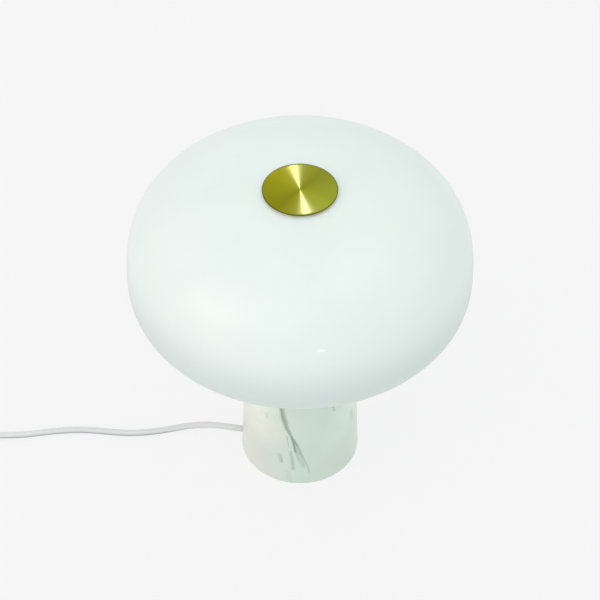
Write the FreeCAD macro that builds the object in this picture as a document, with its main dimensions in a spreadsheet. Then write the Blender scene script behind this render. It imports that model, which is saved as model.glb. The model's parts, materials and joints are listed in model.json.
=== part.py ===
import FreeCAD, Part
import math
import os

import Sketcher
from FreeCAD import Placement, Rotation, Vector

# Mushroom table lamp: a tapered marble base, a wide opal glass shade clamped by a spun brass cap,
# three pin-base bulbs on a pressed pan, and a round cord with a rocker switch and a two-pin plug.
# The origin is on the floor under the lamp's axis, +Z is up, and the cord leaves towards -X.

# Driving sizes, in millimetres and degrees
DRIVING_SIZES = {
    # Foot pad and marble base
    "pad_margin": 4.8,
    "pad_thickness": 2.0,
    "pad_gap": 0.4,
    "foot_gap": 0.5,
    "base_foot_radius": 54.8,
    "base_top_radius": 48.6,
    "marble_height": 171.5,
    "base_foot_round": 0.6,
    "base_top_round": 1.5,
    "recess_radius": 38.5,
    "recess_depth": 19.0,
    "stem_bore_gap": 0.5,
    # Cord and its way out of the base
    "cord_radius": 3.0,
    "exit_height": 6.5,
    "exit_turn": -7.6,
    "bush_wall": 0.95,
    "bush_back": 1.5,
    "bush_inset": 1.5,
    "close_fit": 0.05,
    # Wiring in the recess
    "carrier_gap": 1.0,
    "carrier_thickness": 3.0,
    "clamp_margin": 6.5,
    "clamp_width": 10.0,
    "clamp_span": 20.0,
    "clamp_screw_spacing": 14.0,
    "small_screw_radius": 1.45,
    "small_head_radius": 2.6,
    "small_head_height": 1.4,
    "small_head_gap": 0.26,
    "screw_bite": 2.5,
    "sheath_stub": 2.5,
    "block_margin": 5.5,
    "block_length": 16.0,
    "block_width": 18.0,
    "block_height": 10.5,
    "pole_spacing": 9.0,
    "pole_hole_radius": 1.5,
    "pole_height": 12.0,
    "pole_screw_radius": 1.3,
    "pole_screw_spacing": 8.0,
    "pole_screw_depth": 3.4,
    "wire_radius": 0.9,
    "wire_spacing": 2.6,
    "wire_floor": 4.6,
    "wire_wall_gap": 2.2,
    "wire_entry": 2.0,
    "wire_top_gap": 0.65,
    "core_run": 5.0,
    "core_corner": 8.0,
    "core_swing": 11.5,
    "core_rise": 2.0,
    "core_entry": 3.5,
    # Threaded stem with its nuts and washers
    "stem_radius": 5.0,
    "stem_hollow_radius": 3.5,
    "stem_tail": 5.8,
    "stem_slot_radius": 2.4,
    "nut_width": 14.0,
    "nut_height": 4.0,
    "washer_radius": 9.0,
    "washer_thickness": 1.2,
    # Pan that carries the lampholders and centres the glass
    "pan_sheet": 1.5,
    "pan_flange_radius": 47.0,
    "pan_drum_radius": 39.5,
    "pan_drum_height": 14.5,
    "pan_round": 3.0,
    "junction_radius": 13.0,
    "junction_height": 7.0,
    "junction_drop": 5.0,
    "lead_radius": 0.8,
    "lead_spacing": 3.0,
    "lead_hole_radius": 3.5,
    # Lampholders and bulbs
    "holder_circle": 24.0,
    "holder_length": 17.0,
    "holder_width": 13.0,
    "holder_height": 18.0,
    "holder_round": 3.0,
    "holder_lug_span": 28.0,
    "holder_lug_height": 4.0,
    "holder_screw_spacing": 22.6,
    "holder_slot_depth": 14.0,
    "pin_spacing": 9.0,
    "pin_radius": 0.5,
    "pin_length": 12.0,
    "bulb_radius": 8.0,
    "bulb_base_height": 14.0,
    "bulb_foot_radius": 6.4,
    "bulb_foot_height": 4.6,
    "globe_radius": 7.7,
    "globe_height": 36.0,
    "globe_wall": 1.0,
    "globe_round": 5.7,
    "globe_seat": 3.0,
    # Opal glass shade
    "gasket_thickness": 1.4,
    "gasket_inner_radius": 41.5,
    "gasket_outer_radius": 46.5,
    "shade_radius": 150.0,
    "shade_crown": 90.0,
    "shade_belly": 55.0,
    "crown_power": 2.9,
    "belly_power": 2.5,
    "glass_wall": 3.5,
    "rim_flat": 1.4,
    "shade_mouth_radius": 40.5,
    "shade_top_hole": 8.0,
    # Brass cap and its soft grommet
    "cap_radius": 32.0,
    "cap_thickness": 1.8,
    "cap_edge": 0.3,
    "cap_under_edge": 1.2,
    "cap_recess": 0.8,
    "insert_radius": 6.5,
    "insert_length": 10.8,
    "thread_fit": 0.05,
    "stem_end_gap": 0.8,
    "grommet_radius": 20.0,
    "grommet_flange": 0.8,
    "grommet_spigot": 3.2,
    "turning_fit": 0.1,
    # Rocker switch on the cord
    "switch_x": -366.0,
    "switch_y": 5.0,
    "switch_turn": -4.0,
    "case_length": 60.0,
    "case_width": 26.0,
    "lower_case_height": 9.0,
    "upper_case_height": 9.0,
    "case_wall": 2.0,
    "case_corner": 8.0,
    "case_edge": 2.0,
    "rocker_length": 20.4,
    "rocker_width": 11.2,
    "rocker_opening_gap": 1.1,
    "rocker_side_gap": 0.3,
    "rocker_pivot_height": 13.2,
    "rocker_crest": 5.8,
    "rocker_dip": 4.6,
    "rocker_skirt": 2.0,
    "rocker_heel": 3.2,
    "rocker_heel_half": 3.5,
    "rocker_tilt": 7.0,
    "pivot_pin_radius": 1.0,
    "pin_fit": 0.05,
    "cheek_thickness": 1.8,
    "cheek_half_length": 3.0,
    "cheek_foot": 10.8,
    "stub_length": 9.0,
    "saddle_place": 25.0,
    "saddle_length": 4.0,
    "saddle_span": 15.0,
    "saddle_thickness": 2.2,
    "saddle_screw_spacing": 10.6,
    "post_radius": 2.1,
    "boss_place": 15.0,
    "boss_offset": 8.2,
    "boss_radius": 2.6,
    "contact_place": 15.0,
    "contact_length": 8.0,
    "contact_width": 6.0,
    "contact_height": 5.0,
    "leaf_length": 14.0,
    "leaf_thickness": 0.5,
    # Two-pin plug
    "plug_x": -396.0,
    "plug_y": -79.5,
    "plug_turn": -4.0,
    "plug_thickness": 13.7,
    "plug_width": 35.3,
    "plug_neck_width": 15.0,
    "plug_shoulder": 12.0,
    "plug_length": 34.0,
    "plug_nose_width": 33.0,
    "plug_round": 3.5,
    "relief_length": 24.0,
    "relief_tail_radius": 4.2,
    "relief_head_radius": 6.2,
    "relief_groove": 0.8,
    "relief_groove_width": 1.6,
    "relief_groove_pitch": 4.0,
    "plug_pin_spacing": 18.6,
    "plug_pin_radius": 2.0,
    "plug_pin_core": 1.5,
    "plug_pin_length": 19.0,
    "plug_sleeve_length": 10.0,
    "plug_pin_root": 6.0,
    # Coil of the cord and its tie
    "coil_x": -457.0,
    "coil_y": -33.9,
    "coil_outer_turn": 42.9,
    "coil_pitch": 6.6,
    "coil_floor": 4.0,
    "coil_layer": 6.5,
    "coil_turns": 3.0,
    "coil_end": 6.0,
    "tie_thickness": 0.8,
    "tie_width": 6.0,
    "tie_slack": 0.3,
    "tie_lean": 1.2,
    "tie_buckle": 3.4,
}

HOLDER_TURNS = (90, 210, 330)
TINY = 1e-7
CLOSE = 0.01
# An edge is told from the next one by lying this much further out, in millimetres
EDGE_MARGIN = 1
# A cut runs this many times the length that it has to pass
THROUGH = 2
# An arc of a cord takes this share of the shorter of its two runs
ARC_SHARE = 0.45
# The glass is drawn in to this share of a hole before the hole is cut
HOLE_SHARE = 0.65
# Points along each half of the outline of the glass
OUTLINE_POINTS = 14
# Grooves of the strain relief
RELIEF_GROOVES = 5

# Free stretches of the cord: points chosen by hand along its centre, on the floor at z = cord radius
LEAD_ROUTE = [
    (-64.5, 8.6, 6.5),
    (-82.0, 12.9, 5.6),
    (-104.0, 13.6, 4.2),
    (-128.0, 8.4, 3.0),
    (-155.0, 4.2, 3.0),
    (-178.0, 5.6, 3.0),
    (-208.0, 9.3, 3.0),
    (-236.0, 6.9, 3.0),
    (-262.0, 2.3, 3.0),
    (-288.0, 1.6, 3.0),
    (-305.0, 0.9, 5.0),
    (-322.107, 1.931, 9.0),
]
MIDDLE_ROUTE = [
    (-408.396, 7.965, 9.0),
    (-424.0, 8.7, 5.3),
    (-439.0, 9.0, 4.0),
]
TAIL_ROUTE = [
    (-438.5, -76.8, 10.5),
    (-423.0, -77.5, 8.0),
    (-408.0, -78.66, 6.85),
]

doc = FreeCAD.newDocument("mushroom_table_lamp")
sheet = doc.addObject("Spreadsheet::Sheet", "sizes")
for row, (alias, number) in enumerate(DRIVING_SIZES.items(), 1):
    sheet.set(f"A{row}", alias)
    sheet.set(f"B{row}", str(number))
    sheet.setAlias(f"B{row}", alias)
doc.recompute()


class Size:
    """A length known both as a number and as the sheet formula that gives it."""

    def __init__(self, number, formula=None):
        self.number = float(number)
        self.formula = formula or repr(float(number))

    def joined(self, other, sign, number):
        return Size(number, f"({self.formula} {sign} {other.formula})")

    def __add__(self, other):
        other = as_size(other)
        return self.joined(other, "+", self.number + other.number)

    def __sub__(self, other):
        other = as_size(other)
        return self.joined(other, "-", self.number - other.number)

    def __mul__(self, other):
        other = as_size(other)
        return self.joined(other, "*", self.number * other.number)

    def __truediv__(self, other):
        other = as_size(other)
        return self.joined(other, "/", self.number / other.number)

    def __neg__(self):
        return Size(-self.number, f"(0 - {self.formula})")

    def __float__(self):
        return self.number


class SheetSizes:
    """The sheet's cells as sizes, read by their names."""

    def __getattr__(self, alias):
        return Size(sheet.get(alias), f"sizes.{alias}")


def as_size(value):
    """A size as it is, or a plain number as a size."""
    return value if isinstance(value, Size) else Size(value)


def bind(thing, name, value):
    """Set a property through a formula of the sheet."""
    thing.setExpression(name, as_size(value).formula)


def turned(x, y, z, degrees):
    """A point turned about the lamp's axis."""
    angle = math.radians(float(degrees))
    cosine, sine = math.cos(angle), math.sin(angle)
    x, y = float(x), float(y)
    return Vector(x * cosine - y * sine, x * sine + y * cosine, float(z))


def place(thing, x=0, y=0, z=0, turn=0, axis=Vector(0, 0, 1)):
    """Put a thing at a point that the sheet gives, turned by an angle about an axis."""
    x, y, z, turn = (as_size(value) for value in (x, y, z, turn))
    thing.Placement = Placement(Vector(x.number, y.number, z.number), Rotation(axis, turn.number))
    for name, value in (("x", x), ("y", y), ("z", z)):
        bind(thing, f"Placement.Base.{name}", value)
    if turn.number:
        bind(thing, "Placement.Rotation.Angle", turn)
    return thing


size = SheetSizes()
nodes = []
pockets = []


def node(thing, label):
    """Name a finished piece."""
    thing.Label = label
    nodes.append(thing)
    return thing


# Sketches and bodies
def hold(sketch, curve, end, x, y):
    """Hold a point of a sketch at its two distances from the sketch's origin."""
    for kind, axis, distance in (("DistanceX", -2, as_size(x)), ("DistanceY", -1, as_size(y))):
        if abs(distance.number) < TINY:
            sketch.addConstraint(Sketcher.Constraint("PointOnObject", curve, end, axis))
            continue
        constraint = Sketcher.Constraint(kind, -1, 1, curve, end, distance.number)
        bind(sketch, f"Constraints[{sketch.addConstraint(constraint)}]", distance)


def outline(sketch, points):
    """A closed chain of straight lines through points of the sheet."""
    corners = [Vector(float(x), float(y), 0) for x, y in points]
    count = len(corners)
    first = sketch.GeometryCount
    for index, corner in enumerate(corners):
        sketch.addGeometry(Part.LineSegment(corner, corners[(index + 1) % count]), False)
    for index in range(count):
        following = first + (index + 1) % count
        sketch.addConstraint(Sketcher.Constraint("Coincident", first + index, 2, following, 1))
    for index, (x, y) in enumerate(points):
        hold(sketch, first + index, 1, x, y)


def rectangle(sketch, x_middle, y_middle, length, width):
    """A rectangle about a middle point."""
    x_middle, y_middle, length, width = (as_size(value) for value in (x_middle, y_middle, length, width))
    low_x, high_x = x_middle - length / 2, x_middle + length / 2
    low_y, high_y = y_middle - width / 2, y_middle + width / 2
    outline(sketch, [(low_x, low_y), (high_x, low_y), (high_x, high_y), (low_x, high_y)])


def circle(sketch, x, y, radius):
    """A circle at a point of the sheet."""
    x, y, radius = (as_size(value) for value in (x, y, radius))
    ring = Part.Circle(Vector(x.number, y.number, 0), Vector(0, 0, 1), radius.number)
    curve = sketch.addGeometry(ring, False)
    constraint = sketch.addConstraint(Sketcher.Constraint("Radius", curve, radius.number))
    bind(sketch, f"Constraints[{constraint}]", radius)
    hold(sketch, curve, 3, x, y)


class Piece:
    """A body whose sketches lie on its own origin planes."""

    def __init__(self, label):
        self.body = doc.addObject("PartDesign::Body", label)
        self.label = label

    def sketch(self, role="XY_Plane", shift=0):
        shift = as_size(shift)
        plane = next(item for item in self.body.Origin.OriginFeatures if item.Role == role)
        sketch = self.body.newObject("Sketcher::SketchObject", f"{self.label}_sketch")
        sketch.AttachmentSupport = (plane, [""])
        sketch.MapMode = "FlatFace"
        sketch.AttachmentOffset = Placement(Vector(0, 0, shift.number), Rotation())
        bind(sketch, "AttachmentOffset.Base.z", shift)
        return sketch

    def feature(self, kind, sketch, length, both, reverse):
        feature = self.body.newObject(f"PartDesign::{kind}", f"{self.label}_{kind.lower()}")
        feature.Profile = sketch
        feature.Length = float(length)
        bind(feature, "Length", length)
        feature.Midplane = both
        feature.Reversed = reverse
        return feature

    def pad(self, sketch, length, both=False, reverse=False):
        return self.feature("Pad", sketch, length, both, reverse)

    def pocket(self, sketch, length, both=False, reverse=False):
        feature = self.feature("Pocket", sketch, length, both, reverse)
        pockets.append(feature)
        return feature

    def revolve(self, sketch, axis="V_Axis"):
        feature = self.body.newObject("PartDesign::Revolution", f"{self.label}_revolution")
        feature.Profile = sketch
        feature.ReferenceAxis = (sketch, [axis])
        feature.Angle = 360
        return feature

    def repeat(self, feature, count, axis="Z_Axis"):
        line = next(item for item in self.body.Origin.OriginFeatures if item.Role == axis)
        pattern = self.body.newObject("PartDesign::PolarPattern", f"{self.label}_pattern")
        pattern.Originals = [feature]
        pattern.Axis = (line, [""])
        pattern.Angle = 360
        pattern.Occurrences = count
        self.body.Tip = pattern
        return pattern

    def fillet(self, radius, wanted, kind="Fillet"):
        doc.recompute()
        base = self.body.Tip
        names = [f"Edge{index}" for index, edge in enumerate(base.Shape.Edges, 1) if wanted(edge)]
        if not names:
            raise RuntimeError(f"{self.label}: no edge to round")
        feature = self.body.newObject(f"PartDesign::{kind}", f"{self.label}_{kind.lower()}")
        feature.Base = (base, names)
        name = "Radius" if kind == "Fillet" else "Size"
        setattr(feature, name, float(radius))
        bind(feature, name, radius)
        return feature


def level_at(edge, height):
    """Whether a whole edge lies at one height."""
    box = edge.BoundBox
    return abs(box.ZMin - float(height)) < CLOSE and abs(box.ZMax - float(height)) < CLOSE


def reach(edge):
    """The greatest distance of an edge from the Z axis."""
    return max(math.hypot(point.x, point.y) for point in edge.discretize(7))


def upright(edge):
    """Whether an edge is a straight vertical line."""
    box = edge.BoundBox
    return box.XLength < CLOSE and box.YLength < CLOSE and box.ZLength > CLOSE


# Primitive solids with bound sizes
def cylinder(label, radius, height, z=0, x=0, y=0, turn=0, axis=Vector(0, 0, 1)):
    solid = doc.addObject("Part::Cylinder", label)
    bind(solid, "Radius", radius)
    bind(solid, "Height", height)
    return place(solid, x, y, z, turn, axis)


def through_hole(label, radius, height, z, x=0, y=0):
    """A tool for a hole right through a plate that stands on a height."""
    return cylinder(label, radius, as_size(height) * THROUGH, as_size(z) - as_size(height) / THROUGH, x, y)


def box(label, length, width, height, x=0, y=0, z=0):
    """A box whose middle is over a point, standing on a height."""
    solid = doc.addObject("Part::Box", label)
    for name, value in (("Length", length), ("Width", width), ("Height", height)):
        bind(solid, name, value)
    return place(solid, as_size(x) - as_size(length) / 2, as_size(y) - as_size(width) / 2, z)


def cut(label, base, tool):
    result = doc.addObject("Part::Cut", label)
    result.Base = base
    result.Tool = tool
    return result


def fuse(label, *solids):
    result = doc.addObject("Part::MultiFuse", label)
    result.Shapes = list(solids)
    return result


def group(label, solids):
    """Like pieces that share one node."""
    result = doc.addObject("Part::Compound", label)
    result.Links = list(solids)
    return result


def screw(label, length, x, y, z_head, head_below=True):
    """A pan-head screw whose head seats on a level and whose shank runs away from it."""
    head_z = as_size(z_head) - size.small_head_height if head_below else as_size(z_head)
    shank_z = as_size(z_head) if head_below else as_size(z_head) - length
    head = cylinder(f"{label}_head", size.small_head_radius, size.small_head_height, head_z, x, y)
    shank = cylinder(f"{label}_shank", size.small_screw_radius, length, shank_z, x, y)
    return fuse(label, head, shank)


# Tubes along a path of runs and arcs
def bent_path(points, report=None):
    """Straight runs joined by tangent arcs, each arc as large as its two runs allow."""
    points = [Vector(*point) for point in points]
    edges = []
    here = points[0]
    radii = []
    for before, corner, after in zip(points, points[1:], points[2:]):
        back, ahead = before - corner, after - corner
        run = min(back.Length, ahead.Length)
        back.normalize()
        ahead.normalize()
        half_turn = (math.pi - back.getAngle(ahead)) / 2
        reach_back = ARC_SHARE * run
        radius = reach_back / math.tan(half_turn)
        radii.append(round(radius, 1))
        start, end = corner + back * reach_back, corner + ahead * reach_back
        bisector = back + ahead
        bisector.normalize()
        middle = corner + bisector * (radius / math.cos(half_turn) - radius)
        edges.append(Part.LineSegment(here, start).toShape())
        edges.append(Part.Arc(start, middle, end).toShape())
        here = end
    edges.append(Part.LineSegment(here, points[-1]).toShape())
    if report:
        print(report, "radii", radii, "length", round(sum(edge.Length for edge in edges), 1))
    return Part.Wire(edges)


def tube(path, radius):
    """A solid tube of a round section along a path."""
    first = path.Edges[0]
    start = first.valueAt(first.FirstParameter)
    ring = Part.Wire([Part.Circle(start, first.tangentAt(first.FirstParameter), float(radius)).toShape()])
    solid = path.makePipeShell([ring], True, False)
    expected = math.pi * float(radius) ** 2 * path.Length
    if abs(solid.Volume / expected - 1) > CLOSE:
        raise RuntimeError(f"tube volume {solid.Volume:.1f}, section times length {expected:.1f}")
    return solid


def shaped(label, shape, turn=0):
    """A piece whose shape is worked out from the sheet's values."""
    feature = doc.addObject("Part::Feature", label)
    feature.Shape = shape
    return place(feature, turn=turn)


# Levels that the pieces share
recess_ceiling = size.pad_thickness + size.recess_depth
carrier_floor = recess_ceiling - size.carrier_thickness
marble_top = size.pad_thickness + size.marble_height
pan_flange_top = marble_top + size.pan_sheet
pan_top = pan_flange_top + size.pan_drum_height
rim_level = pan_flange_top + size.gasket_thickness
belly_bottom = rim_level - size.rim_flat
equator = belly_bottom + size.shade_belly
crown_level = equator + size.shade_crown
cap_floor = crown_level + size.grommet_flange
cap_top = cap_floor + size.cap_thickness
stem_foot = carrier_floor - size.washer_thickness - size.stem_tail
stem_top = cap_top - size.cap_thickness + size.cap_recess - size.stem_end_gap
junction_floor = pan_top - size.pan_sheet - size.junction_drop - size.junction_height
junction_middle = junction_floor + size.junction_height / 2
bush_radius = size.cord_radius + size.close_fit + size.bush_wall
bush_face = size.base_foot_radius - size.bush_back
carrier_radius = size.recess_radius - size.carrier_gap
clamp_place = carrier_radius - size.clamp_width / 2 - size.clamp_margin
block_place = carrier_radius - size.block_length / 2 - size.block_margin
sheath_end = clamp_place - size.clamp_width / 2 - size.sheath_stub
pad_radius = size.base_foot_radius - size.pad_margin
rebate_radius = pad_radius + size.pad_gap


# Marble base with its pad and cord bush
def make_base():
    pad = Piece("foot_pad")
    circle(sketch := pad.sketch(), 0, 0, pad_radius)
    pad.pad(sketch, size.pad_thickness)
    node(pad.body, "foot_pad")

    marble = Piece("marble_base")
    bore = size.stem_radius + size.stem_bore_gap
    outline(
        sketch := marble.sketch("XZ_Plane"),
        [
            (bore, marble_top),
            (size.base_top_radius, marble_top),
            (size.base_foot_radius, size.foot_gap),
            (rebate_radius, size.foot_gap),
            (rebate_radius, size.pad_thickness),
            (size.recess_radius, size.pad_thickness),
            (size.recess_radius, recess_ceiling),
            (bore, recess_ceiling),
        ],
    )
    marble.revolve(sketch)
    marble.fillet(size.base_foot_round, lambda edge: level_at(edge, size.foot_gap)
                  and reach(edge) > float(rebate_radius) + EDGE_MARGIN)
    marble.fillet(size.base_top_round, lambda edge: level_at(edge, marble_top)
                  and reach(edge) > float(bore) + EDGE_MARGIN)
    # The cord's way out is a notch in the foot with a round top
    notch = bush_radius + size.close_fit
    sketch = marble.sketch("YZ_Plane")
    circle(sketch, 0, size.exit_height, notch)
    marble.pocket(sketch, size.base_foot_radius + size.bush_inset)
    rectangle(sketch := marble.sketch("YZ_Plane"), 0, size.exit_height / 2, notch * 2, size.exit_height)
    marble.pocket(sketch, size.base_foot_radius + size.bush_inset)
    place(marble.body, turn=size.exit_turn)
    node(marble.body, "marble_base")

    bush = Piece("cord_bush")
    length = bush_face - size.recess_radius + size.bush_inset
    face = -bush_face
    sketch = bush.sketch("YZ_Plane", face)
    circle(sketch, 0, size.exit_height, bush_radius)
    bush.pad(sketch, length)
    height = size.exit_height - size.pad_thickness
    middle = size.pad_thickness + height / 2
    rectangle(sketch := bush.sketch("YZ_Plane", face), 0, middle, bush_radius * 2, height)
    bush.pad(sketch, length)
    circle(sketch := bush.sketch("YZ_Plane", face), 0, size.exit_height, size.cord_radius + size.close_fit)
    bush.pocket(sketch, length, reverse=True)
    place(bush.body, turn=size.exit_turn)
    node(bush.body, "cord_bush")


# Carrier plate, cord clamp, terminal block and wires in the recess
def make_wiring():
    clamp_screw_half = size.clamp_screw_spacing / 2
    screw_hole = size.small_screw_radius + size.close_fit
    carrier = Piece("carrier_plate")
    sketch = carrier.sketch(shift=carrier_floor)
    circle(sketch, 0, 0, carrier_radius)
    circle(sketch, 0, 0, size.stem_radius + size.turning_fit)
    circle(sketch, -clamp_place, clamp_screw_half, screw_hole)
    circle(sketch, -clamp_place, -clamp_screw_half, screw_hole)
    circle(sketch, block_place, 0, screw_hole)
    carrier.pad(sketch, size.carrier_thickness)
    place(carrier.body, turn=size.exit_turn)
    node(carrier.body, "carrier_plate")

    groove = size.cord_radius + size.close_fit
    bar_floor = size.exit_height - size.cord_radius - size.close_fit
    halves = (
        ("cord_clamp_seat", size.exit_height + size.close_fit, carrier_floor),
        ("cord_clamp_bar", bar_floor, size.exit_height - size.close_fit),
    )
    for label, low, high in halves:
        half = Piece(label)
        sketch = half.sketch(shift=low)
        rectangle(sketch, -clamp_place, 0, size.clamp_width, size.clamp_span)
        circle(sketch, -clamp_place, clamp_screw_half, screw_hole)
        circle(sketch, -clamp_place, -clamp_screw_half, screw_hole)
        half.pad(sketch, high - low)
        circle(sketch := half.sketch("YZ_Plane", -clamp_place), 0, size.exit_height, groove)
        half.pocket(sketch, size.clamp_width * THROUGH, both=True)
        place(half.body, turn=size.exit_turn)
        node(half.body, label)

    screw_length = carrier_floor + size.screw_bite - bar_floor
    screws = []
    for side in (1, -1):
        spot = clamp_screw_half * side
        screws.append(screw(f"clamp_screw_{side + 2}", screw_length, -clamp_place, spot, bar_floor))
    node(place(group("cord_clamp_screws", screws), turn=size.exit_turn), "cord_clamp_screws")

    inner_length = bush_face - sheath_end
    inner = cylinder("inner_cord_run", size.cord_radius, inner_length)
    place(inner, -bush_face, 0, size.exit_height, 90, Vector(0, 1, 0))
    node(place(group("cord_inner_placed", [inner]), turn=size.exit_turn), "cord_inner")
    make_terminals()
    make_wires()


def make_terminals():
    block_floor = carrier_floor - size.block_height
    screw_hole = size.small_screw_radius + size.close_fit
    block = Piece("terminal_block")
    sketch = block.sketch(shift=block_floor)
    rectangle(sketch, block_place, 0, size.block_length, size.block_width)
    circle(sketch, block_place, 0, screw_hole)
    block.pad(sketch, size.block_height)
    pole = size.pole_spacing / 2
    sketch = block.sketch("YZ_Plane", block_place)
    for side in (1, -1):
        circle(sketch, pole * side, size.pole_height, size.pole_hole_radius)
    block.pocket(sketch, size.block_length * THROUGH, both=True)
    sketch = block.sketch(shift=block_floor)
    for along in (1, -1):
        for side in (1, -1):
            place_x = block_place + size.pole_screw_spacing / 2 * along
            circle(sketch, place_x, pole * side, size.pole_screw_radius + size.close_fit)
    block.pocket(sketch, size.pole_height - block_floor, reverse=True)
    place(block.body, turn=size.exit_turn)
    node(block.body, "terminal_block")

    screws = []
    for along in (1, -1):
        for side in (1, -1):
            place_x = block_place + size.pole_screw_spacing / 2 * along
            name = f"terminal_screw_{len(screws) + 1}"
            depth = size.pole_screw_depth
            screws.append(cylinder(name, size.pole_screw_radius, depth, block_floor, place_x, pole * side))
    node(place(group("terminal_screws", screws), turn=size.exit_turn), "terminal_screws")
    length = size.block_height + size.screw_bite
    fixing = screw("fixing_screw", length, block_place, 0, block_floor)
    node(place(group("terminal_fixing_screw", [fixing]), turn=size.exit_turn), "terminal_fixing_screw")


def make_wires():
    """Two cores to the block, two wires on through the stem and six leads to the lampholders."""
    radius = float(size.wire_radius)
    half = float(size.wire_spacing) / 2
    pole = float(size.pole_spacing) / 2
    height = float(size.pole_height)
    level = float(size.exit_height)
    low = float(size.wire_floor)
    near = float(block_place - size.block_length / 2)
    far = float(block_place + size.block_length / 2)
    back = float(size.recess_radius - size.wire_wall_gap - size.wire_radius)
    sheath = -float(sheath_end)
    entry = float(size.wire_entry)
    corner, rise = float(size.core_corner), float(size.core_rise)
    stem_side = float(size.stem_radius - size.wire_top_gap)
    cores, wires = [], []
    for side in (1, -1):
        core = [
            (sheath, side * half, level),
            (sheath + float(size.core_run), side * half, level),
            (-corner, side * corner, level + rise / 2),
            (0, side * float(size.core_swing), level + rise),
            (corner, side * corner, level + rise * 2),
            (near - float(size.core_entry), side * pole, height),
            (near + entry, side * pole, height),
        ]
        cores.append(tube(bent_path(core), radius))
        wire = [
            (stem_side, side * half, float(junction_middle)),
            (0, side * half, float(junction_middle)),
            (0, side * half, low),
            (near, side * pole, low),
            (back, side * pole, low),
            (back, side * pole, height),
            (far - entry, side * pole, height),
        ]
        wires.append(tube(bent_path(wire), radius))
    node(shaped("cord_cores", Part.Compound(cores), size.exit_turn), "cord_cores")
    node(shaped("stem_wires", Part.Compound(wires), size.exit_turn), "stem_wires")

    leads = []
    middle, top = float(junction_middle), float(pan_top)
    start = float(size.junction_radius)
    reach_out = float(size.holder_circle)
    for angle in HOLDER_TURNS:
        for side in (1, -1):
            offset = side * float(size.lead_spacing) / 2
            route = [(start, offset, middle), (reach_out, offset, middle), (reach_out, offset, top)]
            points = [tuple(turned(*point, angle)) for point in route]
            leads.append(tube(bent_path(points), float(size.lead_radius)))
    node(shaped("holder_leads", Part.Compound(leads)), "holder_leads")


# Hollow threaded stem with its nuts and washers
def make_stem():
    height = stem_top - stem_foot
    rod = cylinder("stem_rod", size.stem_radius, height, stem_foot)
    hollow = through_hole("stem_hollow", size.stem_hollow_radius, height, stem_foot)
    pipe = cut("stem_pipe", rod, hollow)
    slot = cylinder("stem_slot", size.stem_slot_radius, size.stem_radius * THROUGH)
    place(slot, 0, 0, junction_middle, 90, Vector(0, 1, 0))
    turned_slot = place(group("stem_slot_turned", [slot]), turn=size.exit_turn)
    node(cut("stem_tube", pipe, turned_slot), "stem_tube")

    nuts, washers = [], []
    seats = ((carrier_floor, -1), (pan_top, 1))
    for index, (seat, way) in enumerate(seats, 1):
        washer_z = seat if way > 0 else seat - size.washer_thickness
        nut_z = seat + size.washer_thickness if way > 0 else seat - size.washer_thickness - size.nut_height
        washer = cylinder(f"washer_disc_{index}", size.washer_radius, size.washer_thickness, washer_z)
        hole_radius = size.stem_radius + size.close_fit
        hole = through_hole(f"washer_hole_{index}", hole_radius, size.washer_thickness, washer_z)
        washers.append(cut(f"stem_washer_{index}", washer, hole))
        prism = doc.addObject("Part::Prism", f"nut_hexagon_{index}")
        prism.Polygon = 6
        bind(prism, "Circumradius", size.nut_width / 2 / math.cos(math.pi / 6))
        bind(prism, "Height", size.nut_height)
        place(prism, z=nut_z)
        hole = through_hole(f"nut_hole_{index}", hole_radius, size.nut_height, nut_z)
        nuts.append(cut(f"stem_nut_{index}", prism, hole))
    node(group("stem_nuts", nuts), "stem_nuts")
    node(group("stem_washers", washers), "stem_washers")


# Pan, junction ring, lampholders and bulbs
def make_pan():
    pan = Piece("lampholder_pan")
    stem_hole = size.stem_radius + size.turning_fit
    under = pan_top - size.pan_sheet
    inner = size.pan_drum_radius - size.pan_sheet
    outline(
        sketch := pan.sketch("XZ_Plane"),
        [
            (inner, marble_top),
            (size.pan_flange_radius, marble_top),
            (size.pan_flange_radius, pan_flange_top),
            (size.pan_drum_radius, pan_flange_top),
            (size.pan_drum_radius, pan_top),
            (stem_hole, pan_top),
            (stem_hole, under),
            (inner, under),
        ],
    )
    pan.revolve(sketch)
    pan.fillet(size.pan_round, lambda edge: level_at(edge, pan_top) and reach(edge) > float(inner))
    pan.fillet(size.pan_round - size.pan_sheet, lambda edge: level_at(edge, under)
               and reach(edge) > float(stem_hole) + EDGE_MARGIN)
    first = HOLDER_TURNS[0]
    sketch = pan.sketch(shift=pan_top)
    lead = turned_sizes(size.holder_circle, 0, first)
    circle(sketch, *lead, size.lead_hole_radius)
    for side in (1, -1):
        spot = turned_sizes(size.holder_circle, size.holder_screw_spacing / 2 * side, first)
        circle(sketch, *spot, size.small_screw_radius + size.close_fit)
    pan.repeat(pan.pocket(sketch, size.pan_sheet * THROUGH), len(HOLDER_TURNS))
    node(pan.body, "lampholder_pan")

    ring = Piece("junction_ring")
    sketch = ring.sketch(shift=junction_floor)
    circle(sketch, 0, 0, size.junction_radius)
    circle(sketch, 0, 0, size.stem_radius + size.close_fit)
    ring.pad(sketch, size.junction_height)
    node(ring.body, "junction_ring")

    gasket = Piece("shade_gasket")
    sketch = gasket.sketch(shift=pan_flange_top)
    circle(sketch, 0, 0, size.gasket_outer_radius)
    circle(sketch, 0, 0, size.gasket_inner_radius)
    gasket.pad(sketch, size.gasket_thickness)
    node(gasket.body, "shade_gasket")


def turned_sizes(x, y, degrees):
    """The two sizes of a point turned by a fixed angle about the axis."""
    x, y = as_size(x), as_size(y)
    cosine = round(math.cos(math.radians(degrees)), 9)
    sine = round(math.sin(math.radians(degrees)), 9)
    return x * cosine - y * sine, x * sine + y * cosine


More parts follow.
